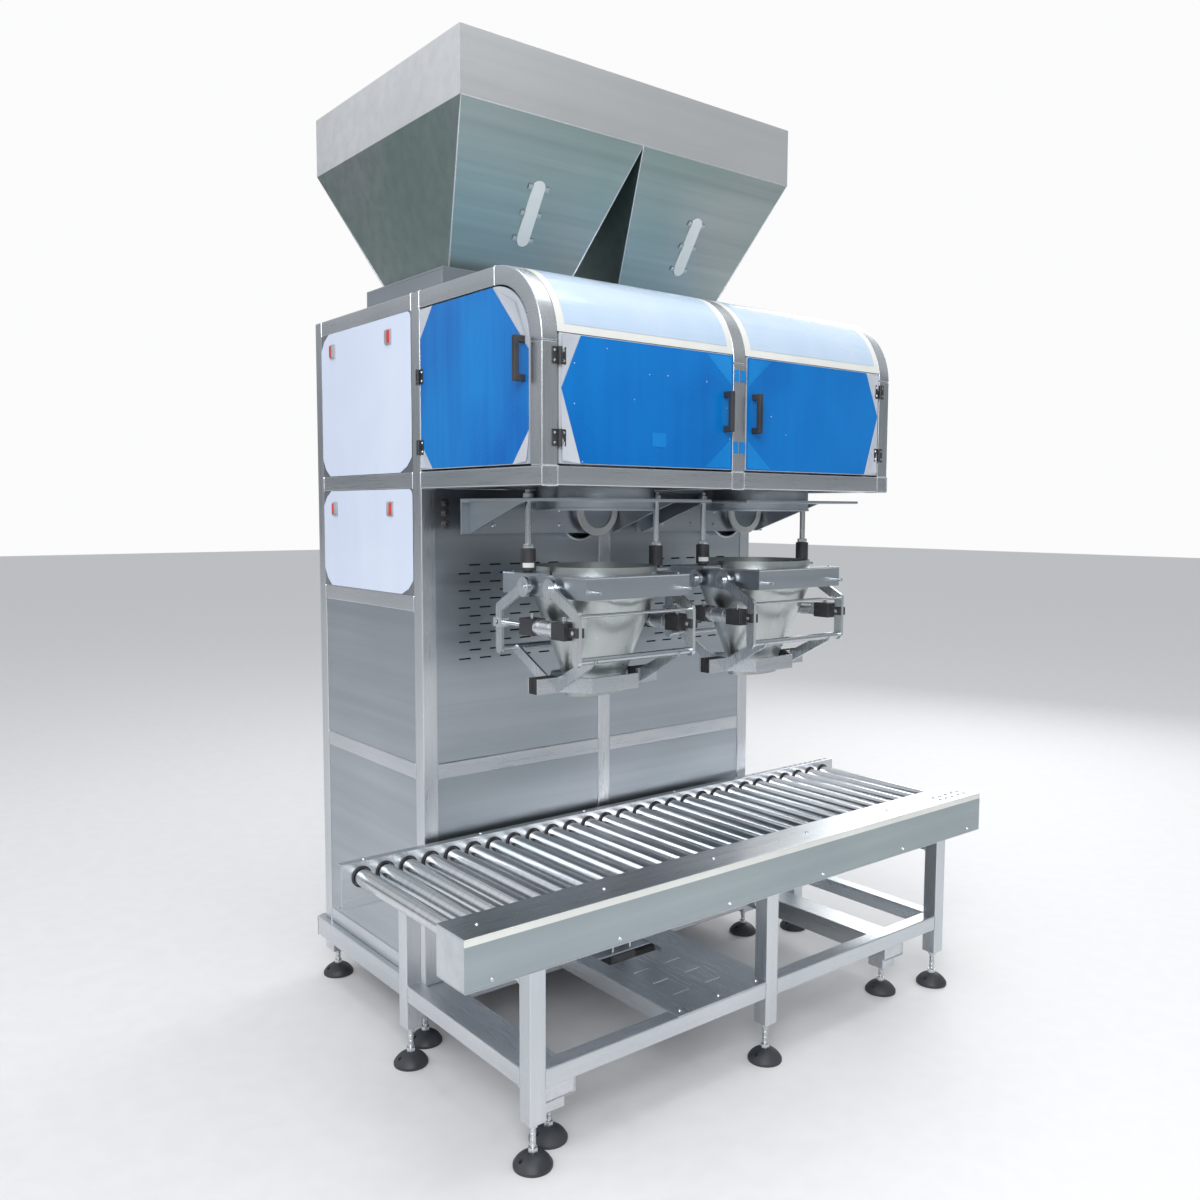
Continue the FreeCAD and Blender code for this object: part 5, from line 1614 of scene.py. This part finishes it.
def hinge_screw_spots(shell: Shell, swinging: bool) -> tuple[list[Vector], Vector]:
    """Where a hinge leaf's two screws sit.

    Args:
        shell: the hinge half, knuckles included.
        swinging: whether it is the door's half.

    Returns:
        The two places on the leaf's face, and the way they face.
    """
    side, plate, reach, drop = shell.side, 0.003, 0.0068, 0.0125
    if shell.size.x > shell.size.y:
        out = FORWARD.copy()
        end = shell.low.x if (side < 0) != swinging else shell.high.x
        way = 1 if end == shell.low.x else -1
        base = Vector((end + way * reach, shell.high.y - plate, shell.centre.z))
    else:
        out = Vector((side, 0, 0))
        end = shell.low.y if swinging else shell.high.y
        way = 1 if end == shell.low.y else -1
        face = shell.high.x - plate if side < 0 else shell.low.x + plate
        base = Vector((face, end + way * reach, shell.centre.z))
    return [base + UP * drop, base - UP * drop], out


@dataclass
class Hopper:
    """The divided feed hopper and its two sight windows."""

    bead: float = 0.0026
    wall: float = 0.003
    band_level: float = 2700.0
    edge: float = 0.0008
    window_edge: float = 0.0012

    def build(self) -> None:
        """Walls, seams, rim and windows."""
        draft = Draft()
        shells = shells_of("feed_hopper")
        band = [s for s in shells if s.low.z > spot(0, 0, self.band_level).z]
        # Band and chutes are one steel: the near white band is painted light, the dark green chutes painted shade
        # with a painted reflected tint.
        upper = grained("Hopper band painted light", Axis.X, light=(0.90, 0.90, 0.91), dark=(0.76, 0.77, 0.79),
                        tint=(0.70, 0.73, 0.74), roughness=0.36)
        lower = grained("Hopper chute painted shade", Axis.X, light=(0.42, 0.47, 0.47), dark=(0.28, 0.32, 0.33),
                        tint=(0.18, 0.33, 0.28), roughness=0.38)
        draft.solids(shells, lambda s: upper if s in band else lower, self.edge)
        beads(draft, self.seams(shells), self.bead)
        low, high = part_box("feed_hopper")
        inset = Vector((self.wall, self.wall, self.wall))
        rim = level_outline(low + inset, high - inset, (high - inset).z)
        hem = BEADS.run(guide_lines([rim], True), upper, Radius=self.wall, Ripple=0.0, Step=0.05)
        draft.made(hem, upper)
        draft.publish("feed_hopper_sheets", STATIC, "hopper_steel", "feed_hopper")
        self.windows()

    def seams(self, shells: list[Shell]) -> list[list[Vector]]:
        """The outside corner lines of the band and the chutes.

        Args:
            shells: the hopper's sheets.

        Returns:
            The lines' points.
        """
        chutes = [s for s in shells if s.low.z < spot(0, 0, self.band_level).z]
        low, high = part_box("feed_hopper")
        inset = Vector((self.bead, self.bead, 0))
        low, high = low + inset, high - inset
        foot, shoulder = chutes[0].low.z, chutes[0].high.z
        paths = [[Vector((x, y, shoulder)), Vector((x, y, high.z - 0.004))]
                 for x in (low.x, high.x) for y in (low.y, high.y)]
        for side, _ in SIDES:
            walls = [s for s in chutes if (s.centre.x - MIDDLE) * side > 0]
            across = [s for s in walls if s.size.x > 0.5]
            fore = min(across, key=lambda s: s.centre.y)
            aft = max(across, key=lambda s: s.centre.y)
            ends = [s for s in walls if s not in (fore, aft)]
            near = min(ends, key=lambda s: abs(s.centre.x - MIDDLE))
            far = max(ends, key=lambda s: abs(s.centre.x - MIDDLE))
            x_in = (near.low.x + self.wall) if side < 0 else (near.high.x - self.wall)
            x_out = (far.high.x - self.wall) if side < 0 else (far.low.x + self.wall)
            edge = low.x if side < 0 else high.x
            for top_y, foot_y in ((low.y, fore.high.y - self.wall), (high.y, aft.low.y + self.wall)):
                paths.append([Vector((edge, top_y, shoulder)), Vector((x_out, foot_y, foot))])
                paths.append([Vector((MIDDLE + side * 0.001, top_y, shoulder)), Vector((x_in, foot_y, foot))])
                paths.append([Vector((MIDDLE, top_y, shoulder)), Vector((edge, top_y, shoulder))])
            paths.append([Vector((edge, low.y, shoulder)), Vector((edge, high.y, shoulder))])
        return paths

    def windows(self) -> None:
        """Off-white obround windows, their tabs and screws."""
        draft = Draft()
        shells = shells_of("sight_windows")
        tab = Steel("Window tab", light=(0.50, 0.54, 0.54), dark=(0.38, 0.42, 0.42), roughness=0.36)
        plates = [s for s in shells if s.size.z > 0.1]
        draft.solids(shells, lambda s: WINDOW if s in plates else tab, self.window_edge, 3)
        part = plates[0].mesh()
        part.normal_update()
        face = max(part.faces, key=lambda f: f.calc_area() * (f.normal.y < 0))
        normal = face.normal.copy()
        part.free()
        screws(draft, [s.centre + normal * 0.0022 for s in shells if s not in plates], normal, 0.0030, tab)
        draft.publish("sight_window_set", STATIC, "window_glass", "sight_windows")


@dataclass
class Heads:
    """What hangs under the enclosure: brackets, rods, funnels, and the feeders inside."""

    collar_radius: float = 0.0785
    flange_reach: float = 0.016
    flange_rise: float = 0.018
    bolt: float = 0.0075
    bolt_columns: tuple[float, ...] = (-0.26, -0.19, -0.055, 0.055, 0.19, 0.26)
    bolt_rise: float = 0.022
    flange_screws: int = 3
    lid_screw: float = 0.0055
    edge: float = 0.0008
    flap_edge: float = 0.0007
    bracket_edge: float = 0.0009
    rod_edge: float = 0.0016
    neck_level: float = 2390.0
    nut_level: float = 1566.0

    def build(self) -> None:
        """Feeders, flaps, brackets, rods and funnels."""
        self.feeders()
        self.brackets()
        self.rods()
        self.funnels()
        for _, hand in SIDES:
            node = f"weigh_flap_{hand}"
            draft = Draft()
            draft.solids(shells_of(node), lambda s: sheet_steel(Axis.X), self.flap_edge)
            draft.publish(f"{node}_plate", node, "inner_steel", node)

    def feeders(self) -> None:
        """Neck boxes, trays and weigh hoppers."""
        draft = Draft()
        shells = shells_of("weigh_feeders")
        draft.solids(shells, lambda s: BLACK_ENAMEL if s.measures(120, 170, 95) else sheet_steel(s.long_axis),
                     self.edge)
        flanges = [s for s in shells if s.size.z < 0.01 and s.high.z > spot(0, 0, self.neck_level).z]
        places = []
        for shell in flanges:
            axis = shell.long_axis.value
            for i in range(self.flange_screws):
                place = Vector((shell.centre.x, shell.centre.y, shell.low.z))
                place[axis] = shell.low[axis] + shell.size[axis] * (i + 0.5) / self.flange_screws
                places.append(place)
        screws(draft, places, -UP, self.bolt)
        draft.publish("weigh_feeder_set", STATIC, "inner_steel", "weigh_feeders")

    def brackets(self) -> None:
        """Braced plates, duct rings, load cells, and dust collars with their gaskets."""
        draft = Draft()
        shells = shells_of("hanger_brackets")
        draft.solids(shells, lambda s: BARREL if s.measures(70, None, 60) else sheet_steel(s.long_axis),
                     self.bracket_edge)
        backs = [s for s in shells if s.measures(600, 8, None)]
        places = [Vector((s.centre.x + dx, s.low.y, s.centre.z + dz)) for s in backs
                  for dx in self.bolt_columns for dz in (-self.bolt_rise, self.bolt_rise)]
        screws(draft, places, FORWARD, self.bolt)
        collars = [Vector((s.centre.x, s.low.y + 0.0015, s.centre.z)) for s in shells if s.measures(156, None, 156)]
        fronts = [Vector((c.x, backs[0].low.y - self.flange_reach, c.z + self.flange_rise)) for c in collars]
        for front in fronts:
            draft.lathe(((0, 0.006), (0.058, 0.006), (0.066, 0.010), (0.072, 0.010), (0.074, 0),
                         (0.074, -self.flange_reach), (0, -self.flange_reach)), front, FORWARD,
                        sheet_steel(Axis.X), 40)
            draft.lathe(((0.058, 0.012), (0.0795, 0.012), (0.081, 0.010), (0.081, 0.004), (0.073, 0.004),
                         (0.058, 0.008), (0.058, 0.012)), front, FORWARD, GASKET, 40)
        ring = RINGS.run(guide_points(collars, [FORWARD] * len(collars)), ZINC, Radius=self.collar_radius,
                         Width=0.005, Depth=0.004)
        draft.made(ring, ZINC)
        ducts = [s for s in shells if s.measures(342, 342, None) and s.size.z > 0.05]
        feet = [Vector((s.centre.x, s.centre.y, s.low.z + 0.004)) for s in ducts]
        ring = RINGS.run(guide_points(feet, [UP] * len(feet)), sheet_steel(Axis.X), Radius=0.1722, Width=0.004,
                         Depth=0.008)
        draft.made(ring, sheet_steel(Axis.X))
        seams = [[Vector((s.low.x, s.low.y, s.high.z)), Vector((s.high.x, s.low.y, s.high.z))] for s in backs]
        beads(draft, seams, 0.0024)
        draft.publish("hanger_bracket_set", STATIC, "bracket_steel", "hanger_brackets")

    def rods(self) -> None:
        """Bright rods with threads and nuts, and black couplings with a blank label."""
        draft = Draft()
        shells = shells_of("suspension_rods")
        rod_steel = grained("Hanging rod", Axis.Z, light=(0.92, 0.92, 0.94), dark=(0.80, 0.80, 0.83), roughness=0.17,
                            fine=90.0, relief=0.01, sway=0.0)
        draft.solids(shells, lambda s: BLACK_PLASTIC if s.size.x > 0.035 else rod_steel if s.size.x < 0.02
                     else ZINC, self.rod_edge, 3)
        rods = [s for s in shells if s.size.x < 0.02]
        bases = [Vector((s.centre.x, s.centre.y, s.high.z - 0.025)) for s in rods]
        mesh = THREADS.run(guide_points(bases, [UP] * len(bases)), ZINC, Radius=0.0088, Pitch=0.0022, Length=0.023)
        draft.made(mesh, ZINC)
        couplings = sorted((s for s in shells if s.size.x > 0.035), key=lambda s: s.centre.x)
        for shell in couplings[::2]:
            draft.take(label_patch(shell.centre, shell.size.x / 2, shell.low.z + 0.014, shell.low.z + 0.027), LABEL)
        nuts = [s for s in shells if 0.02 < s.size.x < 0.035]
        feet = [Vector((s.centre.x, s.centre.y, spot(0, 0, self.nut_level).z)) for s in nuts]
        for foot in feet:
            draft.lathe(((0.0095, 0), (0.0150, 0), (0.0162, 0.0015), (0.0162, 0.0115), (0.0150, 0.013),
                         (0.0095, 0.013), (0.0095, 0)), foot, UP, ZINC, 6)
        draft.publish("suspension_rod_set", STATIC, "rod_zinc", "suspension_rods")

    def funnels(self) -> None:
        """Round-to-oval funnels in their box frames."""
        draft = Draft()
        shells = shells_of("clamp_funnels")
        cone = Steel("Funnel sheet", light=(0.56, 0.58, 0.58), dark=(0.44, 0.46, 0.46), tint=(0.37, 0.42, 0.40),
                     stretch=(1.0, 1.0, 0.06), roughness=0.31, fine=45.0, broad=12.0, relief=0.015, sway=1.0)
        cones = [s for s in shells if s.measures(362, None, None)]
        draft.solids(cones, lambda s: cone, 0.0)
        others = [s for s in shells if s not in cones]
        draft.solids(others, lambda s: ZINC if s.size.x < 0.035 and s.size.z < 0.035 else sheet_steel(s.long_axis),
                     self.edge)
        lids = [s for s in shells if s.measures(378, 402, 3)]
        beads(draft, [level_outline(s.low, s.high, s.low.z) for s in lids], 0.0014, True)
        places = [Vector((s.centre.x + dx, s.centre.y + dy, s.high.z)) for s in lids
                  for dx in (-0.165, 0.165) for dy in (-0.178, 0.178)]
        screws(draft, places, UP, self.lid_screw)
        draft.publish("clamp_funnel_set", STATIC, "funnel_steel", "clamp_funnels")


def label_patch(centre: Vector, radius: float, low: float, high: float) -> BMesh:
    """A blank label wrapped part of the way round an upright coupling.

    Args:
        centre: the coupling's centre.
        radius: its radius.
        low: the label's lower edge.
        high: its upper edge.

    Returns:
        The closed label.
    """
    part = bmesh.new()
    count, start, sweep, thickness = 10, math.radians(190), math.radians(95), 0.0004
    columns = []
    for i in range(count + 1):
        angle = start + sweep * i / count
        way = Vector((math.cos(angle), math.sin(angle), 0))
        columns.append([part.verts.new(Vector((centre.x, centre.y, z)) + way * r)
                        for z, r in ((low, radius), (low, radius + thickness),
                                     (high, radius + thickness), (high, radius))])
    for one, two in zip(columns, columns[1:]):
        for k in range(4):
            part.faces.new([one[k], two[k], two[(k + 1) % 4], one[(k + 1) % 4]])
    part.faces.new(columns[0])
    part.faces.new(columns[-1][::-1])
    bmesh.ops.recalc_face_normals(part, faces=part.faces[:])
    return part


@dataclass
class Clamps:
    """The bag clamps: front and rear jaws, their cylinders and piston rods."""

    fitting: tuple[tuple[float, float], ...] = (
        (0, 0), (0.0060, 0), (0.0060, 0.004), (0.0048, 0.0045), (0.0048, 0.011), (0.0056, 0.0115),
        (0.0056, 0.0145), (0.0030, 0.015), (0, 0.0145))
    tie_bolt: float = 0.017
    pad_ribs: int = 5
    jaw_edge: float = 0.0014
    cylinder_edge: float = 0.0016
    rod_edge: float = 0.0012
    bag_line: float = -372.0

    def build(self) -> None:
        """Both heads' clamps."""
        for _, hand in SIDES:
            for part in ("front", "rear"):
                self.jaw(f"{part}_jaw_{hand}")
            self.cylinders(f"clamp_cylinders_{hand}")
            self.piston_rods(f"clamp_rods_{hand}")

    def jaw(self, node: str) -> None:
        """Arms, ties, the formed strip and its rubber pads.

        Args:
            node: its CAD node.
        """
        draft = Draft()
        shells = shells_of(node)
        pads = [s for s in shells if s.measures(80, 18, 45)]
        strip = grained("Jaw strip", Axis.X, roughness=0.26)
        arm = grained("Jaw arm", Axis.Z, light=(0.80, 0.81, 0.83), dark=(0.60, 0.61, 0.64), roughness=0.28)
        draft.solids(shells, lambda s: RUBBER if s in pads else strip if s.size.x > 0.3 and s.size.z < 0.05
                     else ZINC if s.size.x < 0.02 and s.size.z < 0.02 else arm, self.jaw_edge, 3)
        ribs, ways = [], []
        for pad in pads:
            inward = 1 if pad.centre.y < spot(0, self.bag_line, 0).y else -1
            face = pad.high.y if inward > 0 else pad.low.y
            for i in range(self.pad_ribs):
                ribs.append(Vector((pad.centre.x, face - inward * 0.0006, pad.low.z + 0.0065 + 0.008 * i)))
                ways.append(Vector((0, -inward, 0)))
        mesh = PLATES.run(guide_points(ribs, ways), RUBBER, Width=0.078, Height=0.003, Thickness=0.0004,
                          Corner=0.001)
        draft.made(mesh, RUBBER)
        draft.publish(f"{node}_assembly", node, "jaw_steel", node)

    def cylinders(self, node: str) -> None:
        """Barrels between black heads, with tie bolts and air fittings.

        Args:
            node: its CAD node.
        """
        draft = Draft()
        shells = shells_of(node)
        barrels = [s for s in shells if s.measures(46, 92, 46)]
        draft.solids(shells, lambda s: BARREL if s in barrels else BLACK_PLASTIC, self.cylinder_edge, 3)
        for shell in barrels:
            for y in (shell.low.y - 0.028, shell.high.y + 0.030):
                draft.lathe(self.fitting, Vector((shell.centre.x, y, shell.centre.z + 0.024)), UP, ZINC, 12)
        heads = [s for s in shells if s not in barrels and s.size.y < 0.07]
        places = [Vector((s.centre.x + dx, s.high.y, s.centre.z + dz)) for s in heads
                  for dx in (-self.tie_bolt, self.tie_bolt) for dz in (-self.tie_bolt, self.tie_bolt)]
        screws(draft, places, BACKWARD, 0.0045)
        bands = [Vector((s.centre.x, y, s.centre.z)) for s in barrels for y in (s.low.y + 0.02, s.high.y - 0.02)]
        ring = RINGS.run(guide_points(bands, [BACKWARD] * len(bands)), ZINC, Radius=0.0232, Width=0.0012, Depth=0.008)
        draft.made(ring, ZINC)
        draft.publish(f"{node}_set", node, "cylinder_alu", node)

    def piston_rods(self, node: str) -> None:
        """Ground rods with their forks.

        Args:
            node: its CAD node.
        """
        draft = Draft()
        draft.solids(shells_of(node), lambda s: CHROME_ROD, self.rod_edge)
        draft.publish(f"{node}_set", node, "piston_chrome", node)


@dataclass
class Conveyor:
    """The driven roller conveyor: rails, rollers, collars and the gearmotor."""

    lip: float = 0.016
    screw: float = 0.0058
    roller_count: int = 28
    cooling_ribs: int = 20
    edge: float = 0.0008
    roller_edge: float = 0.0010
    motor_edge: float = 0.004

    def build(self) -> None:
        """Rails, rollers and drive."""
        self.rails()
        self.rollers()
        self.drive()

    def rails(self) -> None:
        """The chain case with a painted highlight along its top lip, the rear channel, their screws and the rollers'
        collars.
        """
        draft = Draft()
        low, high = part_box("conveyor_rails")
        face = grained("Chain case", Axis.X, light=(0.46, 0.52, 0.54), dark=(0.36, 0.41, 0.43),
                       tint=(0.33, 0.39, 0.41), roughness=0.38)
        top = grained("Rail top", Axis.X, light=(0.80, 0.81, 0.84), dark=(0.60, 0.61, 0.65), roughness=0.30)
        shells = shells_of("conveyor_rails")
        front = [s for s in shells if s.low.y < low.y + 0.001 and s.size.z > 0.1 and s.size.x > 1.0]
        lip_level = front[0].high.z - self.lip
        # The case's front face above lip_level gets the pale edge finish: a painted highlight along the top lip.
        draft.solids(shells, lambda s: face if s in front else top, self.edge,
                     cuts=((Vector((0, 0, lip_level)), UP),),
                     paint=lambda p, n: PALE_EDGE_AND_HIGHLIGHT if p.y < low.y + 0.004 and p.z > lip_level - 0.0001 else None)
        runs = [low.x + (high.x - low.x) * t for t in (0.035, 0.22, 0.41, 0.6, 0.79, 0.965)]
        screws(draft, [Vector((x, low.y, low.z + 0.018)) for x in runs], FORWARD, self.screw)
        middle = low.y + 0.068
        tops = [Vector((x, middle, high.z)) for x in runs]
        tops += [Vector((high.x - 0.05 - 0.036 * i, middle - 0.035 + 0.028 * j, high.z))
                 for i in range(5) for j in range(2)]
        rear = high.y - 0.011
        tops += [Vector((x, rear, high.z)) for x in runs]
        tops += [Vector((high.x - 0.03 - 0.03 * i, rear, high.z)) for i in range(9)]
        screws(draft, tops, UP, self.screw)
        rollers = [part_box(f"roller_{i + 1:02d}") for i in range(self.roller_count)]
        rear_face = next(s for s in shells if s.size.z > 0.1 and s.low.y > spot(0, -60, 0).y).low.y
        collars = [Vector(((a.x + b.x) / 2, rear_face - 0.0015, (a.z + b.z) / 2)) for a, b in rollers]
        ring = RINGS.run(guide_points(collars, [FORWARD] * len(collars)), BLACK_PLASTIC, Radius=0.0285,
                         Width=0.0050, Depth=0.006)
        draft.made(ring, BLACK_PLASTIC)
        draft.publish("conveyor_rail_set", STATIC, "rail_steel", "conveyor_rails")

    def rollers(self) -> None:
        """Twenty-eight bright tubes with black end discs, spindles and sprockets."""
        for index in range(self.roller_count):
            node = f"roller_{index + 1:02d}"
            draft = Draft()
            shells = shells_of(node)
            tube = next(s for s in shells if s.measures(50, None, None))
            draft.solids(shells, lambda s: ROLLER if s is tube else SPROCKET, self.roller_edge)
            draft.publish(f"{node}_tube", node, "roller_zinc", node)

    def drive(self) -> None:
        """The gearmotor with cooling ribs, a fan cover and a terminal box."""
        draft = Draft()
        shells = shells_of("drive_gearmotor")
        motor = next(s for s in shells if abs(s.size.z - s.size.y) < 0.001 and s.size.x > 0.05 and s.size.z < 0.09
                     and len(s.points) > 20)
        draft.solids(shells, lambda s: ZINC if s.size.x < 0.02 else sheet_steel(Axis.X) if s.size.x > 0.2
                     else BLACK_ENAMEL, self.motor_edge, 3)
        places, ways, ups = [], [], []
        for i in range(self.cooling_ribs):
            angle = math.tau * i / self.cooling_ribs
            radial = Vector((0, math.cos(angle), math.sin(angle)))
            places.append(Vector((motor.centre.x - 0.004, motor.centre.y, motor.centre.z)) + radial * 0.0415)
            ways.append(Vector((0, -radial.z, radial.y)))
            ups.append(radial)
        mesh = PLATES.run(guide_points(places, ways, ups), BLACK_ENAMEL, Width=motor.size.x * 0.72, Height=0.008,
                          Thickness=0.0022, Corner=0.001)
        draft.made(mesh, BLACK_ENAMEL)
        draft.publish("gearmotor_set", STATIC, "motor_black", "drive_gearmotor")


# ---- studio ----

@dataclass
class Studio:
    """A plain pale floor, soft light and the camera."""

    eye: Vector
    aim: Vector
    lens: float = 31.9
    roll: float = 0.2

    def build(self) -> None:
        """Floor, sky, lamps and camera."""
        self.floor()
        self.sky()
        self.lamp("Key", Vector((-4.4, -4.8, 4.8)), Vector((0, 0, 1.3)), 3.4, 260.0)
        self.lamp("Fill", Vector((5.2, 1.6, 3.6)), Vector((0, 0, 1.2)), 3.0, 90.0)
        self.lamp("Top", Vector((0.2, -0.6, 6.2)), Vector((0, 0, 1.3)), 3.6, 130.0)
        self.camera()

    def floor(self) -> None:
        """A wide pale floor just under the feet."""
        part = bmesh.new()
        bmesh.ops.create_grid(part, x_segments=2, y_segments=2, size=40.0)
        mesh = bpy.data.meshes.new("floor")
        part.to_mesh(mesh)
        part.free()
        mesh.transform(Matrix.Translation((0, 0, -0.0006)))
        mesh.materials.append(Moulded("Studio floor", colour=(0.78, 0.78, 0.785), scuff_and_shine=(0.78, 0.78, 0.78),
                                      roughness=0.7, pits=60.0, relief=0.02, shine_and_wear_amount=0.0, dust=0.04).material())
        floor = bpy.data.objects.new("studio_floor", mesh)
        bpy.context.scene.collection.objects.link(floor)

    def sky(self) -> None:
        """An even pale backdrop, with a soft gradient for what the metal reflects."""
        world = bpy.data.worlds.new("Studio sky")
        world.use_nodes = True
        world.node_tree.nodes.clear()
        s = Sketch(world.node_tree)
        place = s.add("ShaderNodeTexCoord").outputs["Generated"]
        parts = s.add("ShaderNodeSeparateXYZ", {0: place})
        bands = s.add("ShaderNodeTexNoise", {"Vector": place, "Scale": 2.6, "Detail": 1.5}).outputs[0]
        lift = s.ranged(parts.outputs["Z"], 0.0, 0.42, 0.0, 1.0)
        colour = s.blend(lift, (0.24, 0.27, 0.29), (0.96, 0.98, 1.0))
        colour = s.blend(s.ranged(bands, 0.44, 0.60, 0.0, 0.5), colour, (0.10, 0.13, 0.13))
        aside = s.ranged(parts.outputs["X"], -0.15, -0.65, 0.0, 0.85)
        colour = s.blend(s.times(aside, lift), colour, (1.35, 1.38, 1.45))
        soft = s.add("ShaderNodeBackground", {"Color": colour, "Strength": 0.72})
        plain = s.add("ShaderNodeBackground", {"Color": rgba((0.97, 0.97, 0.975)), "Strength": 1.0})
        seen = s.add("ShaderNodeLightPath").outputs["Is Camera Ray"]
        mix = s.add("ShaderNodeMixShader", {0: seen, 1: soft.outputs[0], 2: plain.outputs[0]})
        s.add("ShaderNodeOutputWorld", {"Surface": mix.outputs[0]})
        bpy.context.scene.world = world

    def lamp(self, name: str, place: Vector, aim: Vector, size: float, power: float) -> None:
        """One soft square lamp.

        Args:
            name: its name.
            place: where it hangs.
            aim: the place it points at.
            size: its side, in metres.
            power: its power, in watts.
        """
        light = bpy.data.lights.new(name, "AREA")
        light.size = size
        light.energy = power
        lamp = bpy.data.objects.new(name, light)
        lamp.location = place
        lamp.rotation_euler = (aim - place).to_track_quat("-Z", "Y").to_euler()
        bpy.context.scene.collection.objects.link(lamp)

    def camera(self) -> None:
        """The camera, at standing height in front and to the left."""
        data = bpy.data.cameras.new("Camera")
        data.lens = self.lens
        data.sensor_width = 36.0
        data.clip_end = 60.0
        camera = bpy.data.objects.new("Camera", data)
        camera.location = self.eye
        look = self.aim.to_track_quat("-Z", "Y").to_matrix() @ Matrix.Rotation(math.radians(self.roll), 3, "Z")
        camera.rotation_euler = look.to_euler()
        bpy.context.scene.collection.objects.link(camera)
        bpy.context.scene.camera = camera


def main() -> None:
    """Build the machine's looks in order, then the studio."""
    logging.basicConfig(level=logging.INFO, format="%(message)s")
    parts = (Tubework(), Feet(), ColumnSkin(), Enclosure(), Hopper(), Heads(), Clamps(), Conveyor())
    for part in parts:
        LOG.info("building %s", type(part).__name__)
        part.build()
    Studio(eye=Vector((-2.332, -2.831, 1.670)), aim=Vector((0.6194, 0.78065, -0.08318))).build()
    bpy.context.scene.view_settings.view_transform = "Standard"


if __name__ == "__main__":
    main()
